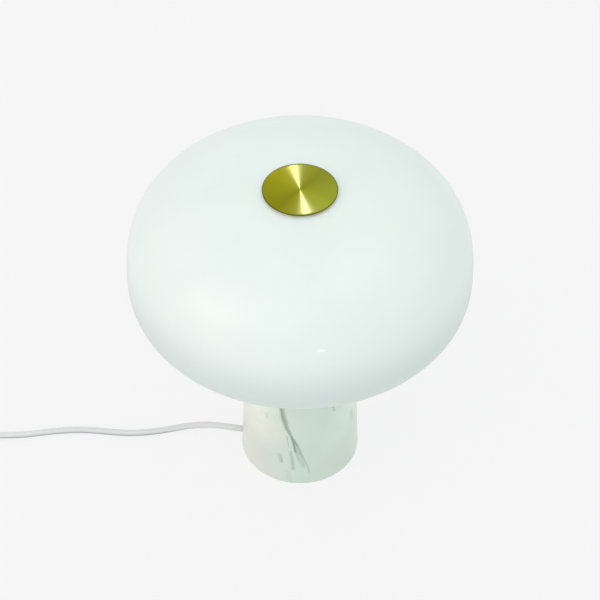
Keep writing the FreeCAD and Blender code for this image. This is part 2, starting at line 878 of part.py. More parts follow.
def make_lampholder(index, angle):
    """A ceramic holder: a rounded body with two slots and two lugs for its screws."""
    holder = Piece(f"lampholder_{index}")
    rectangle(sketch := holder.sketch(), 0, 0, size.holder_width, size.holder_length)
    holder.pad(sketch, size.holder_height)
    holder.fillet(size.holder_round, upright)
    sketch = holder.sketch()
    rectangle(sketch, 0, 0, size.holder_width - size.holder_round, size.holder_lug_span)
    holder.pad(sketch, size.holder_lug_height)
    sketch = holder.sketch()
    for side in (1, -1):
        spot = size.holder_screw_spacing / 2 * side
        circle(sketch, 0, spot, size.small_screw_radius + size.close_fit)
    holder.pocket(sketch, size.holder_lug_height, reverse=True)
    sketch = holder.sketch(shift=size.holder_height)
    for side in (1, -1):
        slot_width = size.pin_radius * 3
        rectangle(sketch, 0, size.pin_spacing / 2 * side, slot_width * 2, slot_width)
    holder.pocket(sketch, size.holder_slot_depth)
    x, y = turned_sizes(size.holder_circle, 0, angle)
    place(holder.body, x, y, pan_top, angle)
    node(holder.body, f"lampholder_{index}")


def make_bulb(index, angle):
    """A pin-base bulb: a ceramic base and a frosted globe that seats in it."""
    seat = pan_top + size.holder_height
    x, y = turned_sizes(size.holder_circle, 0, angle)
    base = Piece(f"bulb_base_{index}")
    seat_level = size.bulb_base_height - size.globe_seat
    globe_hole = size.globe_radius - size.globe_wall
    outline(
        sketch := base.sketch("XZ_Plane"),
        [
            (0, 0),
            (size.bulb_foot_radius, 0),
            (size.bulb_radius, size.bulb_foot_height),
            (size.bulb_radius, size.bulb_base_height),
            (globe_hole, size.bulb_base_height),
            (globe_hole, seat_level),
            (0, seat_level),
        ],
    )
    base.revolve(sketch)
    place(base.body, x, y, seat, angle)
    node(base.body, f"bulb_base_{index}")

    globe = Piece(f"bulb_globe_{index}")
    low = size.bulb_base_height
    high = low + size.globe_height
    ceiling = high - size.globe_wall
    outline(
        sketch := globe.sketch("XZ_Plane"),
        [
            (globe_hole, low),
            (size.globe_radius, low),
            (size.globe_radius, high),
            (0, high),
            (0, ceiling),
            (globe_hole, ceiling),
        ],
    )
    globe.revolve(sketch)
    globe.fillet(size.globe_round, lambda edge: level_at(edge, high)
                 and reach(edge) > float(globe_hole))
    globe.fillet(size.globe_round - size.globe_wall, lambda edge: level_at(edge, ceiling)
                 and reach(edge) > float(size.bulb_foot_radius))
    place(globe.body, x, y, seat, angle)
    node(globe.body, f"bulb_globe_{index}")


def make_head():
    make_pan()
    screws, pins = [], []
    for index, angle in enumerate(HOLDER_TURNS, 1):
        make_lampholder(index, angle)
        make_bulb(index, angle)
        for side in (1, -1):
            x, y = turned_sizes(size.holder_circle, size.holder_screw_spacing / 2 * side, angle)
            lug_top = pan_top + size.holder_lug_height
            length = size.holder_lug_height + size.pan_sheet + size.screw_bite
            screws.append(screw(f"holder_screw_{len(screws) + 1}", length, x, y, lug_top, head_below=False))
            x, y = turned_sizes(size.holder_circle, size.pin_spacing / 2 * side, angle)
            foot = pan_top + size.holder_height - size.pin_length
            pins.append(cylinder(f"bulb_pin_{len(pins) + 1}", size.pin_radius, size.pin_length, foot, x, y))
    node(group("holder_screws", screws), "holder_screws")
    node(group("bulb_pins", pins), "bulb_pins")


# Opal glass shade, a shell between two curves of the family |x/a|^n + |z/c|^n = 1
def shade_points(angles, half_width, half_height, power, inward):
    """Points at angles from the middle plane, moved inward square to the curve."""
    points = []
    for angle in angles:
        cosine, sine = abs(math.cos(angle)), abs(math.sin(angle))
        scale = ((cosine / half_width) ** power + (sine / half_height) ** power) ** (-1 / power)
        x, z = scale * cosine, scale * sine
        slope_x = (x / half_width) ** (power - 1) / half_width
        slope_z = (z / half_height) ** (power - 1) / half_height
        steep = math.hypot(slope_x, slope_z)
        points.append((x - inward * slope_x / steep, z - inward * slope_z / steep))
    return points


def shade_curve(inward):
    """The outline from the top hole over the equator to the mouth, as one smooth curve."""
    halves = (
        (float(size.shade_crown), float(size.crown_power), 1, float(size.shade_top_hole)),
        (float(size.shade_belly), float(size.belly_power), -1, float(size.shade_mouth_radius)),
    )
    width = float(size.shade_radius)
    middle = float(equator)
    crown, belly = [], []
    for points, (height, power, side, hole) in zip((crown, belly), halves):
        last = math.atan2(height, hole * HOLE_SHARE)
        angles = [last * index / OUTLINE_POINTS for index in range(OUTLINE_POINTS + 1)]
        for x, z in shade_points(angles, width, height, power, inward):
            points.append(Vector(x, 0, middle + side * z))
    curve = Part.BSplineCurve()
    curve.interpolate(crown[::-1] + belly[1:])
    return curve.toShape()


def make_shade():
    outer, inner = shade_curve(0.0), shade_curve(float(size.glass_wall))
    outer_ends, inner_ends = outer.Vertexes, inner.Vertexes
    top = Part.LineSegment(inner_ends[0].Point, outer_ends[0].Point).toShape()
    bottom = Part.LineSegment(outer_ends[-1].Point, inner_ends[-1].Point).toShape()
    face = Part.Face(Part.Wire([top, outer, bottom, inner]))
    profile = doc.addObject("Part::Feature", "shade_profile")
    profile.Shape = face
    blown = doc.addObject("Part::Revolution", "shade_blown")
    blown.Source = profile
    blown.Axis = Vector(0, 0, 1)
    blown.Base = Vector(0, 0, 0)
    blown.Angle = 360
    blown.Solid = True
    low, high = rim_level - size.shade_belly / 2, equator + size.shade_crown / 2
    mouth = cylinder("shade_mouth", size.shade_mouth_radius, size.shade_belly, low)
    flat = cylinder("shade_flat", size.shade_radius / 2, size.rim_flat * 2, rim_level - size.rim_flat * 2)
    top_hole = cylinder("shade_top_hole_cut", size.shade_top_hole, size.shade_crown, high)
    node(cut("opal_shade", blown, fuse("shade_openings", mouth, flat, top_hole)), "opal_shade")


# Brass cap with its threaded insert, and the soft grommet in the glass
def make_cap():
    grommet = Piece("cap_grommet")
    bore = size.insert_radius + size.turning_fit
    outline(
        sketch := grommet.sketch("XZ_Plane"),
        [
            (bore, crown_level - size.grommet_spigot),
            (size.shade_top_hole - size.close_fit, crown_level - size.grommet_spigot),
            (size.shade_top_hole - size.close_fit, crown_level),
            (size.grommet_radius, crown_level),
            (size.grommet_radius, cap_floor),
            (bore, cap_floor),
        ],
    )
    grommet.revolve(sketch)
    node(grommet.body, "cap_grommet")

    insert = Piece("cap_insert")
    insert_top = cap_floor + size.cap_recess
    sketch = insert.sketch(shift=insert_top - size.insert_length)
    circle(sketch, 0, 0, size.insert_radius)
    circle(sketch, 0, 0, size.stem_radius + size.thread_fit)
    insert.pad(sketch, size.insert_length)
    node(insert.body, "cap_insert")

    cap = Piece("brass_cap")
    recess = size.insert_radius + size.close_fit
    outline(
        sketch := cap.sketch("XZ_Plane"),
        [
            (0, insert_top),
            (recess, insert_top),
            (recess, cap_floor),
            (size.cap_radius, cap_floor),
            (size.cap_radius, cap_top),
            (0, cap_top),
        ],
    )
    cap.revolve(sketch)
    cap.fillet(size.cap_edge, lambda edge: level_at(edge, cap_top), kind="Chamfer")
    cap.fillet(size.cap_under_edge, lambda edge: level_at(edge, cap_floor)
               and reach(edge) > float(recess) + EDGE_MARGIN, kind="Chamfer")
    node(cap.body, "brass_cap")


# Rocker switch on the cord, in its own place and turn
def set_switch(thing):
    return place(thing, size.switch_x, size.switch_y, 0, size.switch_turn)


def make_cases():
    case_top = size.lower_case_height + size.upper_case_height
    inner_length = size.case_length - size.case_wall * 2
    inner_width = size.case_width - size.case_wall * 2
    cord_hole = size.cord_radius + size.close_fit
    screw_hole = size.small_screw_radius + size.close_fit
    head_hole = size.small_head_radius + size.small_head_gap

    def shell(label, low, height, hollow_low, hollow_height):
        case = Piece(label)
        rectangle(sketch := case.sketch(shift=low), 0, 0, size.case_length, size.case_width)
        case.pad(sketch, height)
        case.fillet(size.case_corner, upright)
        edge_level = low if label == "switch_lower_case" else low + height
        case.fillet(size.case_edge, lambda edge: level_at(edge, edge_level))
        rectangle(sketch := case.sketch(shift=hollow_low), 0, 0, inner_length, inner_width)
        case.pocket(sketch, hollow_height, reverse=True)
        return case

    lower_hollow = size.lower_case_height - size.case_wall
    lower = shell("switch_lower_case", as_size(0), size.lower_case_height, size.case_wall, lower_hollow)
    sketch = lower.sketch()
    for side in (1, -1):
        circle(sketch, size.boss_place * side, size.boss_offset * side, size.boss_radius)
    lower.pad(sketch, size.lower_case_height)
    sketch = lower.sketch()
    post_y = size.saddle_screw_spacing / 2
    for along in (1, -1):
        for side in (1, -1):
            circle(sketch, size.saddle_place * along, post_y * side, size.post_radius)
    lower.pad(sketch, size.lower_case_height + size.cord_radius)
    sketch = lower.sketch(shift=size.lower_case_height + size.cord_radius)
    for along in (1, -1):
        for side in (1, -1):
            circle(sketch, size.saddle_place * along, post_y * side, screw_hole)
    lower.pocket(sketch, size.screw_bite)
    sketch = lower.sketch()
    for side in (1, -1):
        circle(sketch, size.boss_place * side, size.boss_offset * side, screw_hole)
    lower.pocket(sketch, size.lower_case_height, reverse=True)
    sketch = lower.sketch()
    for side in (1, -1):
        circle(sketch, size.boss_place * side, size.boss_offset * side, head_hole)
    lower.pocket(sketch, size.small_head_height, reverse=True)
    circle(sketch := lower.sketch("YZ_Plane"), 0, size.lower_case_height, cord_hole)
    lower.pocket(sketch, size.case_length * THROUGH, both=True)
    node(set_switch(lower.body), "switch_lower_case")

    upper_low = size.lower_case_height
    upper_hollow = size.upper_case_height - size.case_wall
    upper = shell("switch_upper_case", upper_low, size.upper_case_height, upper_low, upper_hollow)
    opening_length = size.rocker_length + size.rocker_opening_gap * 2
    opening_width = size.rocker_width + size.rocker_side_gap * 2
    rectangle(sketch := upper.sketch(shift=case_top), 0, 0, opening_length, opening_width)
    upper.pocket(sketch, size.upper_case_height)
    ceiling = case_top - size.case_wall
    sketch = upper.sketch(shift=size.cheek_foot)
    cheek_y = opening_width / 2 + size.cheek_thickness / 2
    for side in (1, -1):
        rectangle(sketch, 0, cheek_y * side, size.cheek_half_length * 2, size.cheek_thickness)
    upper.pad(sketch, case_top - size.case_wall / 2 - size.cheek_foot)
    sketch = upper.sketch(shift=upper_low)
    for side in (1, -1):
        circle(sketch, size.boss_place * side, size.boss_offset * side, size.boss_radius)
    upper.pad(sketch, ceiling - upper_low + size.case_wall / 2)
    sketch = upper.sketch(shift=upper_low)
    for side in (1, -1):
        circle(sketch, size.boss_place * side, size.boss_offset * side, screw_hole)
    upper.pocket(sketch, size.upper_case_height / 2, reverse=True)
    circle(sketch := upper.sketch("XZ_Plane"), 0, size.rocker_pivot_height, size.pivot_pin_radius)
    upper.pocket(sketch, opening_width + size.cheek_thickness, both=True)
    circle(sketch := upper.sketch("YZ_Plane"), 0, size.lower_case_height, cord_hole)
    upper.pocket(sketch, size.case_length * THROUGH, both=True)
    node(set_switch(upper.body), "switch_upper_case")


def make_rocker():
    rocker = Piece("rocker_form")
    half = size.rocker_length / 2
    outline(
        sketch := rocker.sketch("XZ_Plane"),
        [
            (-half, size.rocker_crest),
            (0, size.rocker_dip),
            (half, size.rocker_crest),
            (half, size.rocker_skirt),
            (size.rocker_heel_half, -size.rocker_heel),
            (-size.rocker_heel_half, -size.rocker_heel),
            (-half, size.rocker_skirt),
        ],
    )
    rocker.pad(sketch, size.rocker_width, both=True)
    circle(sketch := rocker.sketch("XZ_Plane"), 0, 0, size.pivot_pin_radius + size.pin_fit)
    rocker.pocket(sketch, size.rocker_width * THROUGH, both=True)
    place(rocker.body, 0, 0, size.rocker_pivot_height, size.rocker_tilt, Vector(0, 1, 0))
    node(set_switch(group("switch_rocker_placed", [rocker.body])), "switch_rocker")

    opening_width = size.rocker_width + size.rocker_side_gap * 2
    pin_length = opening_width + size.cheek_thickness
    pin = cylinder("pivot_pin", size.pivot_pin_radius, pin_length)
    place(pin, 0, pin_length / 2, size.rocker_pivot_height, 90, Vector(1, 0, 0))
    node(set_switch(group("switch_pivot_pin_placed", [pin])), "switch_pivot_pin")


def make_switch_inside():
    stubs, saddles, saddle_screws, contacts, case_screws = [], [], [], [], []
    saddle_level = size.lower_case_height + size.cord_radius
    for number, side in ((1, 1), (2, -1)):
        stub = cylinder(f"cord_stub_{number}", size.cord_radius, size.stub_length)
        start = size.case_length / 2 - size.stub_length if side > 0 else -size.case_length / 2
        stubs.append(place(stub, start, 0, size.lower_case_height, 90, Vector(0, 1, 0)))
        saddle_x = size.saddle_place * side
        plate = box(f"saddle_plate_{number}", size.saddle_length, size.saddle_span, size.saddle_thickness,
                    saddle_x, 0, saddle_level)
        holes = []
        for across in (1, -1):
            hole_y = size.saddle_screw_spacing / 2 * across
            name = f"saddle_hole_{number}_{across + 2}"
            radius = size.small_screw_radius + size.close_fit
            holes.append(through_hole(name, radius, size.saddle_thickness, saddle_level, saddle_x, hole_y))
        saddles.append(cut(f"cord_saddle_{number}", plate, fuse(f"saddle_holes_{number}", *holes)))
        for across in (1, -1):
            name = f"saddle_screw_{number}_{across + 2}"
            hole_y = size.saddle_screw_spacing / 2 * across
            saddle_screws.append(screw(name, size.saddle_thickness + size.screw_bite, saddle_x, hole_y,
                                       saddle_level + size.saddle_thickness, head_below=False))
        base = box(f"contact_base_{number}", size.contact_length, size.contact_width, size.contact_height,
                   size.contact_place * side, 0, size.case_wall)
        if side > 0:
            contacts.append(base)
        else:
            leaf_x = -size.contact_place + size.leaf_length / 2
            leaf = box("contact_leaf", size.leaf_length, size.contact_width / 2, size.leaf_thickness,
                       leaf_x, 0, size.case_wall + size.contact_height)
            contacts.append(fuse("contact_with_leaf", base, leaf))
        bite = (size.upper_case_height - size.screw_bite) / 2
        length = size.lower_case_height - size.small_head_height + bite
        x, y = size.boss_place * side, size.boss_offset * side
        case_screws.append(screw(f"case_screw_{number}", length, x, y, size.small_head_height))
    node(set_switch(group("switch_cord_ends", stubs)), "switch_cord_ends")
    node(set_switch(group("switch_cord_saddles", saddles)), "switch_cord_saddles")
    node(set_switch(group("switch_saddle_screws", saddle_screws)), "switch_saddle_screws")
    node(set_switch(group("switch_contacts", contacts)), "switch_contacts")
    node(set_switch(group("switch_case_screws", case_screws)), "switch_case_screws")


# Two-pin plug with its ribbed strain relief
def set_plug(thing):
    return place(thing, size.plug_x, size.plug_y, 0, size.plug_turn)


def make_plug():
    axis_level = size.plug_thickness / 2
    nose = size.relief_length + size.plug_length
    shoulder = size.relief_length + size.plug_shoulder
    body = Piece("plug_body")
    outline(
        sketch := body.sketch(),
        [
            (size.relief_length, size.plug_neck_width / 2),
            (size.relief_length, -size.plug_neck_width / 2),
            (shoulder, -size.plug_width / 2),
            (nose, -size.plug_nose_width / 2),
            (nose, size.plug_nose_width / 2),
            (shoulder, size.plug_width / 2),
        ],
    )
    body.pad(sketch, size.plug_thickness)
    body.fillet(size.plug_round, lambda edge: edge.BoundBox.XMax < float(nose) - 1 or upright(edge))
    sketch = body.sketch("YZ_Plane", nose)
    for side in (1, -1):
        circle(sketch, size.plug_pin_spacing / 2 * side, axis_level, size.plug_pin_core + size.close_fit)
    body.pocket(sketch, size.plug_pin_root)
    node(set_plug(body.body), "plug_body")

    relief = Piece("relief_form")
    outline(
        sketch := relief.sketch("XZ_Plane"),
        [
            (0, 0),
            (size.relief_length, 0),
            (size.relief_length, size.relief_head_radius),
            (0, size.relief_tail_radius),
        ],
    )
    relief.revolve(sketch, "H_Axis")
    sketch = relief.sketch("XZ_Plane")
    for index in range(1, RELIEF_GROOVES + 1):
        groove_x = size.relief_groove_pitch * index - size.relief_groove_width / 2
        share = size.relief_groove_pitch * index / size.relief_length
        skin = size.relief_tail_radius + (size.relief_head_radius - size.relief_tail_radius) * share
        rectangle(sketch, groove_x, skin, size.relief_groove_width, size.relief_groove * 2)
    groove = relief.body.newObject("PartDesign::Groove", "relief_grooves")
    groove.Profile = sketch
    groove.ReferenceAxis = (sketch, ["H_Axis"])
    groove.Angle = 360
    pockets.append(groove)
    place(relief.body, 0, 0, axis_level)
    node(set_plug(group("plug_strain_relief_placed", [relief.body])), "plug_strain_relief")

    pins, sleeves = [], []
    root = nose - size.plug_pin_root
    for number, side in ((1, 1), (2, -1)):
        spot = size.plug_pin_spacing / 2 * side
        sleeve_end = nose + size.plug_sleeve_length
        core_length = size.plug_pin_root + size.plug_sleeve_length
        core = cylinder(f"pin_core_{number}", size.plug_pin_core, core_length)
        place(core, root, spot, axis_level, 90, Vector(0, 1, 0))
        tip_length = size.plug_pin_length - size.plug_sleeve_length - size.plug_pin_radius
        tip = cylinder(f"pin_tip_{number}", size.plug_pin_radius, tip_length)
        place(tip, sleeve_end, spot, axis_level, 90, Vector(0, 1, 0))
        end = doc.addObject("Part::Sphere", f"pin_end_{number}")
        bind(end, "Radius", size.plug_pin_radius)
        place(end, sleeve_end + tip_length, spot, axis_level)
        pins.append(fuse(f"plug_pin_{number}", core, tip, end))
        skin = cylinder(f"sleeve_skin_{number}", size.plug_pin_radius, size.plug_sleeve_length)
        place(skin, nose, spot, axis_level, 90, Vector(0, 1, 0))
        hollow = cylinder(f"sleeve_hollow_{number}", size.plug_pin_core, size.plug_sleeve_length)
        place(hollow, nose, spot, axis_level, 90, Vector(0, 1, 0))
        sleeves.append(cut(f"pin_sleeve_{number}", skin, hollow))
    node(set_plug(group("plug_pins", pins)), "plug_pins")
    node(set_plug(group("plug_pin_sleeves", sleeves)), "plug_pin_sleeves")


# Coil of two layers: half turns whose radius falls by half a pitch each, a climb, and out again
def half_turn(start, heading, radius):
    """A level half turn to the left of a heading along X, as two quarter arcs."""
    centre = start + Vector(0, -heading * radius, 0)
    side = -heading * radius
    edge = centre + Vector(side, 0, 0)
    end = centre + Vector(0, side, 0)
    diagonal = math.sqrt(0.5)
    first = centre + Vector(side, -side, 0) * diagonal
    second = centre + Vector(side, side, 0) * diagonal
    return [Part.Arc(start, first, edge).toShape(), Part.Arc(edge, second, end).toShape()], end


def tangent_arc(start, heading, end):
    """The arc that leaves a point along a heading and reaches another point."""
    chord = end - start
    along = Vector(chord)
    along.normalize()
    half = heading.getAngle(chord)
    rise = heading - along * heading.dot(along)
    rise.normalize()
    middle = (start + end) * 0.5 + rise * (chord.Length / 2 * math.tan(half / 2))
    return Part.Arc(start, middle, end).toShape()


def coil_path():
    """The whole spine of the coil, from the switch's side to the plug's side."""
    middle_x, middle_y = float(size.coil_x), float(size.coil_y)
    outer, pitch = float(size.coil_outer_turn), float(size.coil_pitch)
    low = float(size.coil_floor)
    lift = float(size.coil_layer)
    end_run = float(size.coil_end)
    halves = int(2 * float(size.coil_turns))
    point = Vector(middle_x, middle_y + outer, low)
    edges = [Part.LineSegment(point + Vector(end_run, 0, 0), point).toShape()]
    heading = 1
    for step in range(halves):
        arcs, point = half_turn(point, heading, outer - step * pitch / 2)
        edges += arcs
        heading = -heading
    # The climb lies on the left side, in two arcs that meet with one slope
    radius = outer - halves * pitch / 2
    side = Vector(middle_x - math.sqrt(radius ** 2 + lift ** 2 / 4), middle_y, low + lift / 2)
    end = Vector(middle_x, middle_y - radius, low + lift)
    first = tangent_arc(point, Vector(-1, 0, 0), side)
    second = tangent_arc(end, Vector(-1, 0, 0), side)
    halfway = second.valueAt((second.FirstParameter + second.LastParameter) / 2)
    rising = Part.Arc(side, halfway, end).toShape()
    edges += [first, rising]
    point = end
    heading = -1
    for step in range(halves):
        arcs, point = half_turn(point, heading, outer - (halves - 1 - step) * pitch / 2)
        edges += arcs
        heading = -heading
    edges.append(Part.LineSegment(point, point + Vector(end_run, 0, 0)).toShape())
    return Part.Wire(edges)


def print_least_gap(path, diameter):
    """Print the least space between turns, on points three diameters and more apart along the path."""
    points = path.discretize(Distance=2.0)
    step = path.Length / (len(points) - 1)
    skip = int(3 * diameter / step)
    least = min(
        (first - second).Length
        for index, first in enumerate(points)
        for second in points[index + skip:]
    )
    print("coil length", round(path.Length, 1), "least gap to itself", round(least - diameter, 3))


def make_cord():
    radius = float(size.cord_radius)
    exit_point = turned(-bush_face, 0, size.exit_height, size.exit_turn)
    half_case = size.case_length / 2
    mouth = {}
    for side in (1, -1):
        spot = turned(half_case * side, 0, size.lower_case_height, size.switch_turn)
        mouth[side] = spot + Vector(float(size.switch_x), float(size.switch_y), 0)
    relief = Vector(float(size.plug_x), float(size.plug_y), float(size.plug_thickness) / 2)
    coil = coil_path()
    coil_start, coil_end = coil.OrderedVertexes[0].Point, coil.OrderedVertexes[-1].Point
    stretches = (
        ("cord_lead", [exit_point, *LEAD_ROUTE, mouth[1]]),
        ("cord_middle", [mouth[-1], *MIDDLE_ROUTE, coil_start]),
        ("cord_tail", [coil_end, *TAIL_ROUTE, relief]),
    )
    for label, route in stretches:
        path = bent_path([tuple(point) for point in route], label)
        node(shaped(label, tube(path, radius)), label)
    print_least_gap(coil, 2 * radius)
    node(shaped("cord_coil", tube(coil, radius)), "cord_coil")

    tie = Piece("cord_tie")
    inner_turn = size.coil_outer_turn - size.coil_pitch * (size.coil_turns - 0.5)
    inner_low = inner_turn - size.cord_radius - size.tie_lean
    inner_high = size.coil_outer_turn - size.coil_pitch / 2 + size.cord_radius + size.tie_slack
    top = size.coil_floor + size.coil_layer + size.cord_radius + size.tie_slack
    middle_x = (inner_low + inner_high) / 2
    inner_length = inner_high - inner_low
    inner_height = top - size.tie_thickness
    sketch = tie.sketch("XZ_Plane")
    full_height = top + size.tie_thickness
    rectangle(sketch, middle_x, full_height / 2, inner_length + size.tie_thickness * 2, full_height)
    tie.pad(sketch, size.tie_width, both=True)
    tie.fillet(size.tie_thickness * 2, lambda edge: edge.BoundBox.YLength > 1)
    sketch = tie.sketch("XZ_Plane")
    rectangle(sketch, middle_x, size.tie_thickness + inner_height / 2, inner_length, inner_height)
    tie.pocket(sketch, size.tie_width * THROUGH, both=True)
    rectangle(sketch := tie.sketch(shift=top), middle_x, 0, size.tie_buckle * 2, size.tie_width)
    tie.pad(sketch, size.tie_buckle)
    place(tie.body, size.coil_x, size.coil_y)
    node(tie.body, "cord_tie")


make_base()
make_wiring()
make_stem()
make_head()
make_shade()
make_cap()
make_cases()
make_rocker()
make_switch_inside()
make_plug()
make_cord()
doc.recompute()

# Everything is checked before any file is written
faults = []
for item in doc.Objects:
    if "Invalid" in item.State or "Error" in item.State:
        faults.append(f"{item.Label}: {item.State}")
for feature in pockets:
    if feature.Shape.Volume >= feature.BaseFeature.Shape.Volume - TINY:
        faults.append(f"{feature.Label}: cuts nothing")
for item in nodes:
    if item.Shape.isNull() or not item.Shape.isValid() or not item.Shape.Solids:
        faults.append(f"{item.Label}: no sound solid")
if faults:
    raise RuntimeError("; ".join(faults))

os.makedirs("parts", exist_ok=True)
for item in nodes:
    item.Shape.exportStep(f"parts/{item.Label}.step")
print(len(nodes), "nodes written")
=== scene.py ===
# %% [markdown]
# # A mushroom lamp, one surface at a time
# The lamp is a round marble base, a wide shade of opal glass and a spun brass disc on top.
# The exact solids are loaded first as a fixed frame, and everything is laid over them in metres.
# What the eye lands on is made again from formulas. The rest keeps its solid and gets a finish.

# %% Load the fixed frame
import bpy
import json
import math
import numpy as np
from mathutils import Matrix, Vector


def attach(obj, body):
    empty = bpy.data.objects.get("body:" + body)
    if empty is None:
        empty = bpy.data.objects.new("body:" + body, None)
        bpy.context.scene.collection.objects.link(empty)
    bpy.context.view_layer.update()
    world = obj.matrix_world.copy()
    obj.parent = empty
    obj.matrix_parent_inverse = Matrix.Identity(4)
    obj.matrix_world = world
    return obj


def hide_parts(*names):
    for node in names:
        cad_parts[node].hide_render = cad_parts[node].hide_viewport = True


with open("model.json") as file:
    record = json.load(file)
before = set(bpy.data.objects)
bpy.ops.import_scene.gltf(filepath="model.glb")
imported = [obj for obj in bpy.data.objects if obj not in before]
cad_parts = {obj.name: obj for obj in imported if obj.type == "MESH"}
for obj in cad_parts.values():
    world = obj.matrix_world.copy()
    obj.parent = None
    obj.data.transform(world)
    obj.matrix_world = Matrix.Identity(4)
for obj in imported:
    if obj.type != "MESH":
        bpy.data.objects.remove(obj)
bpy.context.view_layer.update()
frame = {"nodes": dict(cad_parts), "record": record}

nodes = frame["nodes"]


def add_object(name, data):
    """A new object in the scene, at the origin until it is placed."""
    made = bpy.data.objects.new(name, data)
    bpy.context.scene.collection.objects.link(made)
    return made


# %% [markdown]
# ## Sizes
# These are the solids' own sizes, in metres, with the origin on the floor under the lamp's axis.
# The shapes are drawn with them, and the finishes use them to tell where on the lamp a point is.
# The crown and the belly of the shade are each a height from the widest ring and a power.
# The recess under the cap is a radius and a depth.

# %% Sizes
MM = 1000.0
CORD_RADIUS = 0.003
SHADE_RADIUS = 0.1500
EQUATOR = 0.2300
CROWN = (0.0900, 2.9)
BELLY = (-0.0550, 2.5)
GLASS_WALL = 0.0035
RIM_LEVEL = 0.1764
MOUTH_RADIUS = 0.0406
TOP_HOLE = 0.0082
CAP_RADIUS = 0.0320
CAP_FLOOR = 0.3208
CAP_TOP = 0.3226
CAP_RECESS = (0.00655, 0.0008)
print("lamp height", CAP_TOP, "m, shade across", 2 * SHADE_RADIUS, "m")

# %% [markdown]
# ## The camera
# A product photographer stood about 1.8 m off and looked down on the lamp, so the widest ring of
# the glass is an oval. The lens follows from the frame: a focal length in pixels over the frame's
# width is a share of the sensor's width. The camera aims at one point on the lamp's axis, so no
# shift and no roll are needed.

# %% Camera
FRAME_PIXELS = 600
FOCAL_PIXELS = 2032.4
LOOK_DOWN = math.radians(45.885)
CAMERA_REACH = 1.79548
AIM_HEIGHT = 0.1894

lens = bpy.data.cameras.new("studio_camera")
lens.sensor_width = 36.0
lens.lens = FOCAL_PIXELS / FRAME_PIXELS * lens.sensor_width
lens.clip_start = 0.05
camera = add_object("studio_camera", lens)
away = Vector((0, -math.cos(LOOK_DOWN), math.sin(LOOK_DOWN)))
camera.location = Vector((0, 0, AIM_HEIGHT)) + away * CAMERA_REACH
camera.rotation_euler = (math.pi / 2 - LOOK_DOWN, 0, 0)
bpy.context.scene.camera = camera
print("lens", round(lens.lens, 2), "mm at", [round(v, 4) for v in camera.location])

# %% [markdown]
# ## The cord's line
# A lamp cord is a round sheath that is stiff enough to lie in long curves.
# Its line is one smooth spline through a few given points: out of the base, over the
# table, up into the switch. Past the switch the spare length is wound, so a second spline goes
# round a coil before it ends in the plug. A spline of order 3 stays inside its corners, so the
# points are the corners of the solid cord's own path.

# %% Points of the cord
LEAD_ROUTE = [
    (-0.05283, 0.00705, 0.0065),
    (-0.0645, 0.0086, 0.0065),
    (-0.0820, 0.0129, 0.0056),
    (-0.1040, 0.0136, 0.0042),
    (-0.1280, 0.0084, 0.0030),
    (-0.1550, 0.0042, 0.0030),
    (-0.1780, 0.0056, 0.0030),
    (-0.2080, 0.0093, 0.0030),
    (-0.2360, 0.0069, 0.0030),
    (-0.2620, 0.0023, 0.0030),
    (-0.2880, 0.0016, 0.0030),
    (-0.3050, 0.0009, 0.0050),
    (-0.322107, 0.001931, 0.0090),
    (-0.336073, 0.002907, 0.0090),
]
MIDDLE_ROUTE = [
    (-0.395927, 0.007093, 0.0090),
    (-0.408396, 0.007965, 0.0090),
    (-0.4240, 0.0087, 0.0053),
    (-0.4390, 0.0090, 0.0040),
]
TAIL_ROUTE = [
    (-0.4385, -0.0768, 0.0105),
    (-0.4230, -0.0775, 0.0080),
    (-0.4080, -0.07866, 0.00685),
    (-0.3960, -0.0795, 0.00685),
]
COIL_MIDDLE = (-0.457, -0.0339)
COIL_RADIUS = 0.0429
COIL_PITCH = 0.0066
COIL_LAYERS = (0.004, 0.0105)
COIL_TURNS = 3
COIL_ENTRY = np.array((0.006, 0, 0))
HALF_TURN_POINTS = 12


def coil_points():
    """Half turns about two centres, where a grows by pi each half turn:
    x = middle - r sin(a) and y = centre + r cos(a).
    The radius r falls by half a pitch each half turn going in and grows again going out.
    The half turn in the middle climbs from the lower layer to the upper one."""
    climb = 2 * COIL_TURNS
    along = np.arange((2 * climb + 1) * HALF_TURN_POINTS + 1) / HALF_TURN_POINTS
    half = np.minimum(np.floor(along), 2 * climb)
    radius = COIL_RADIUS - COIL_PITCH / 2 * np.minimum(half, 2 * climb - half)
    shift = np.where(half % 2 == 1, np.sign(half - climb) * COIL_PITCH / 2, 0)
    low, high = COIL_LAYERS
    height = low + (high - low) * np.clip(along - climb, 0, 1)
    corner_radius = radius / math.cos(math.pi / 2 / HALF_TURN_POINTS)
    angle = along * math.pi
    x = COIL_MIDDLE[0] - corner_radius * np.sin(angle)
    y = COIL_MIDDLE[1] + shift + corner_radius * np.cos(angle)
    return np.stack([x, y, height], 1)


coil_line = coil_points()
coil_start = coil_line[0] + COIL_ENTRY
coil_end = coil_line[-1] + COIL_ENTRY
WOUND_ROUTE = [*MIDDLE_ROUTE, coil_start, *coil_line, coil_end, *TAIL_ROUTE]
print("coil points:", len(coil_line), "from", coil_line[0].round(4), "to", coil_line[-1].round(4))
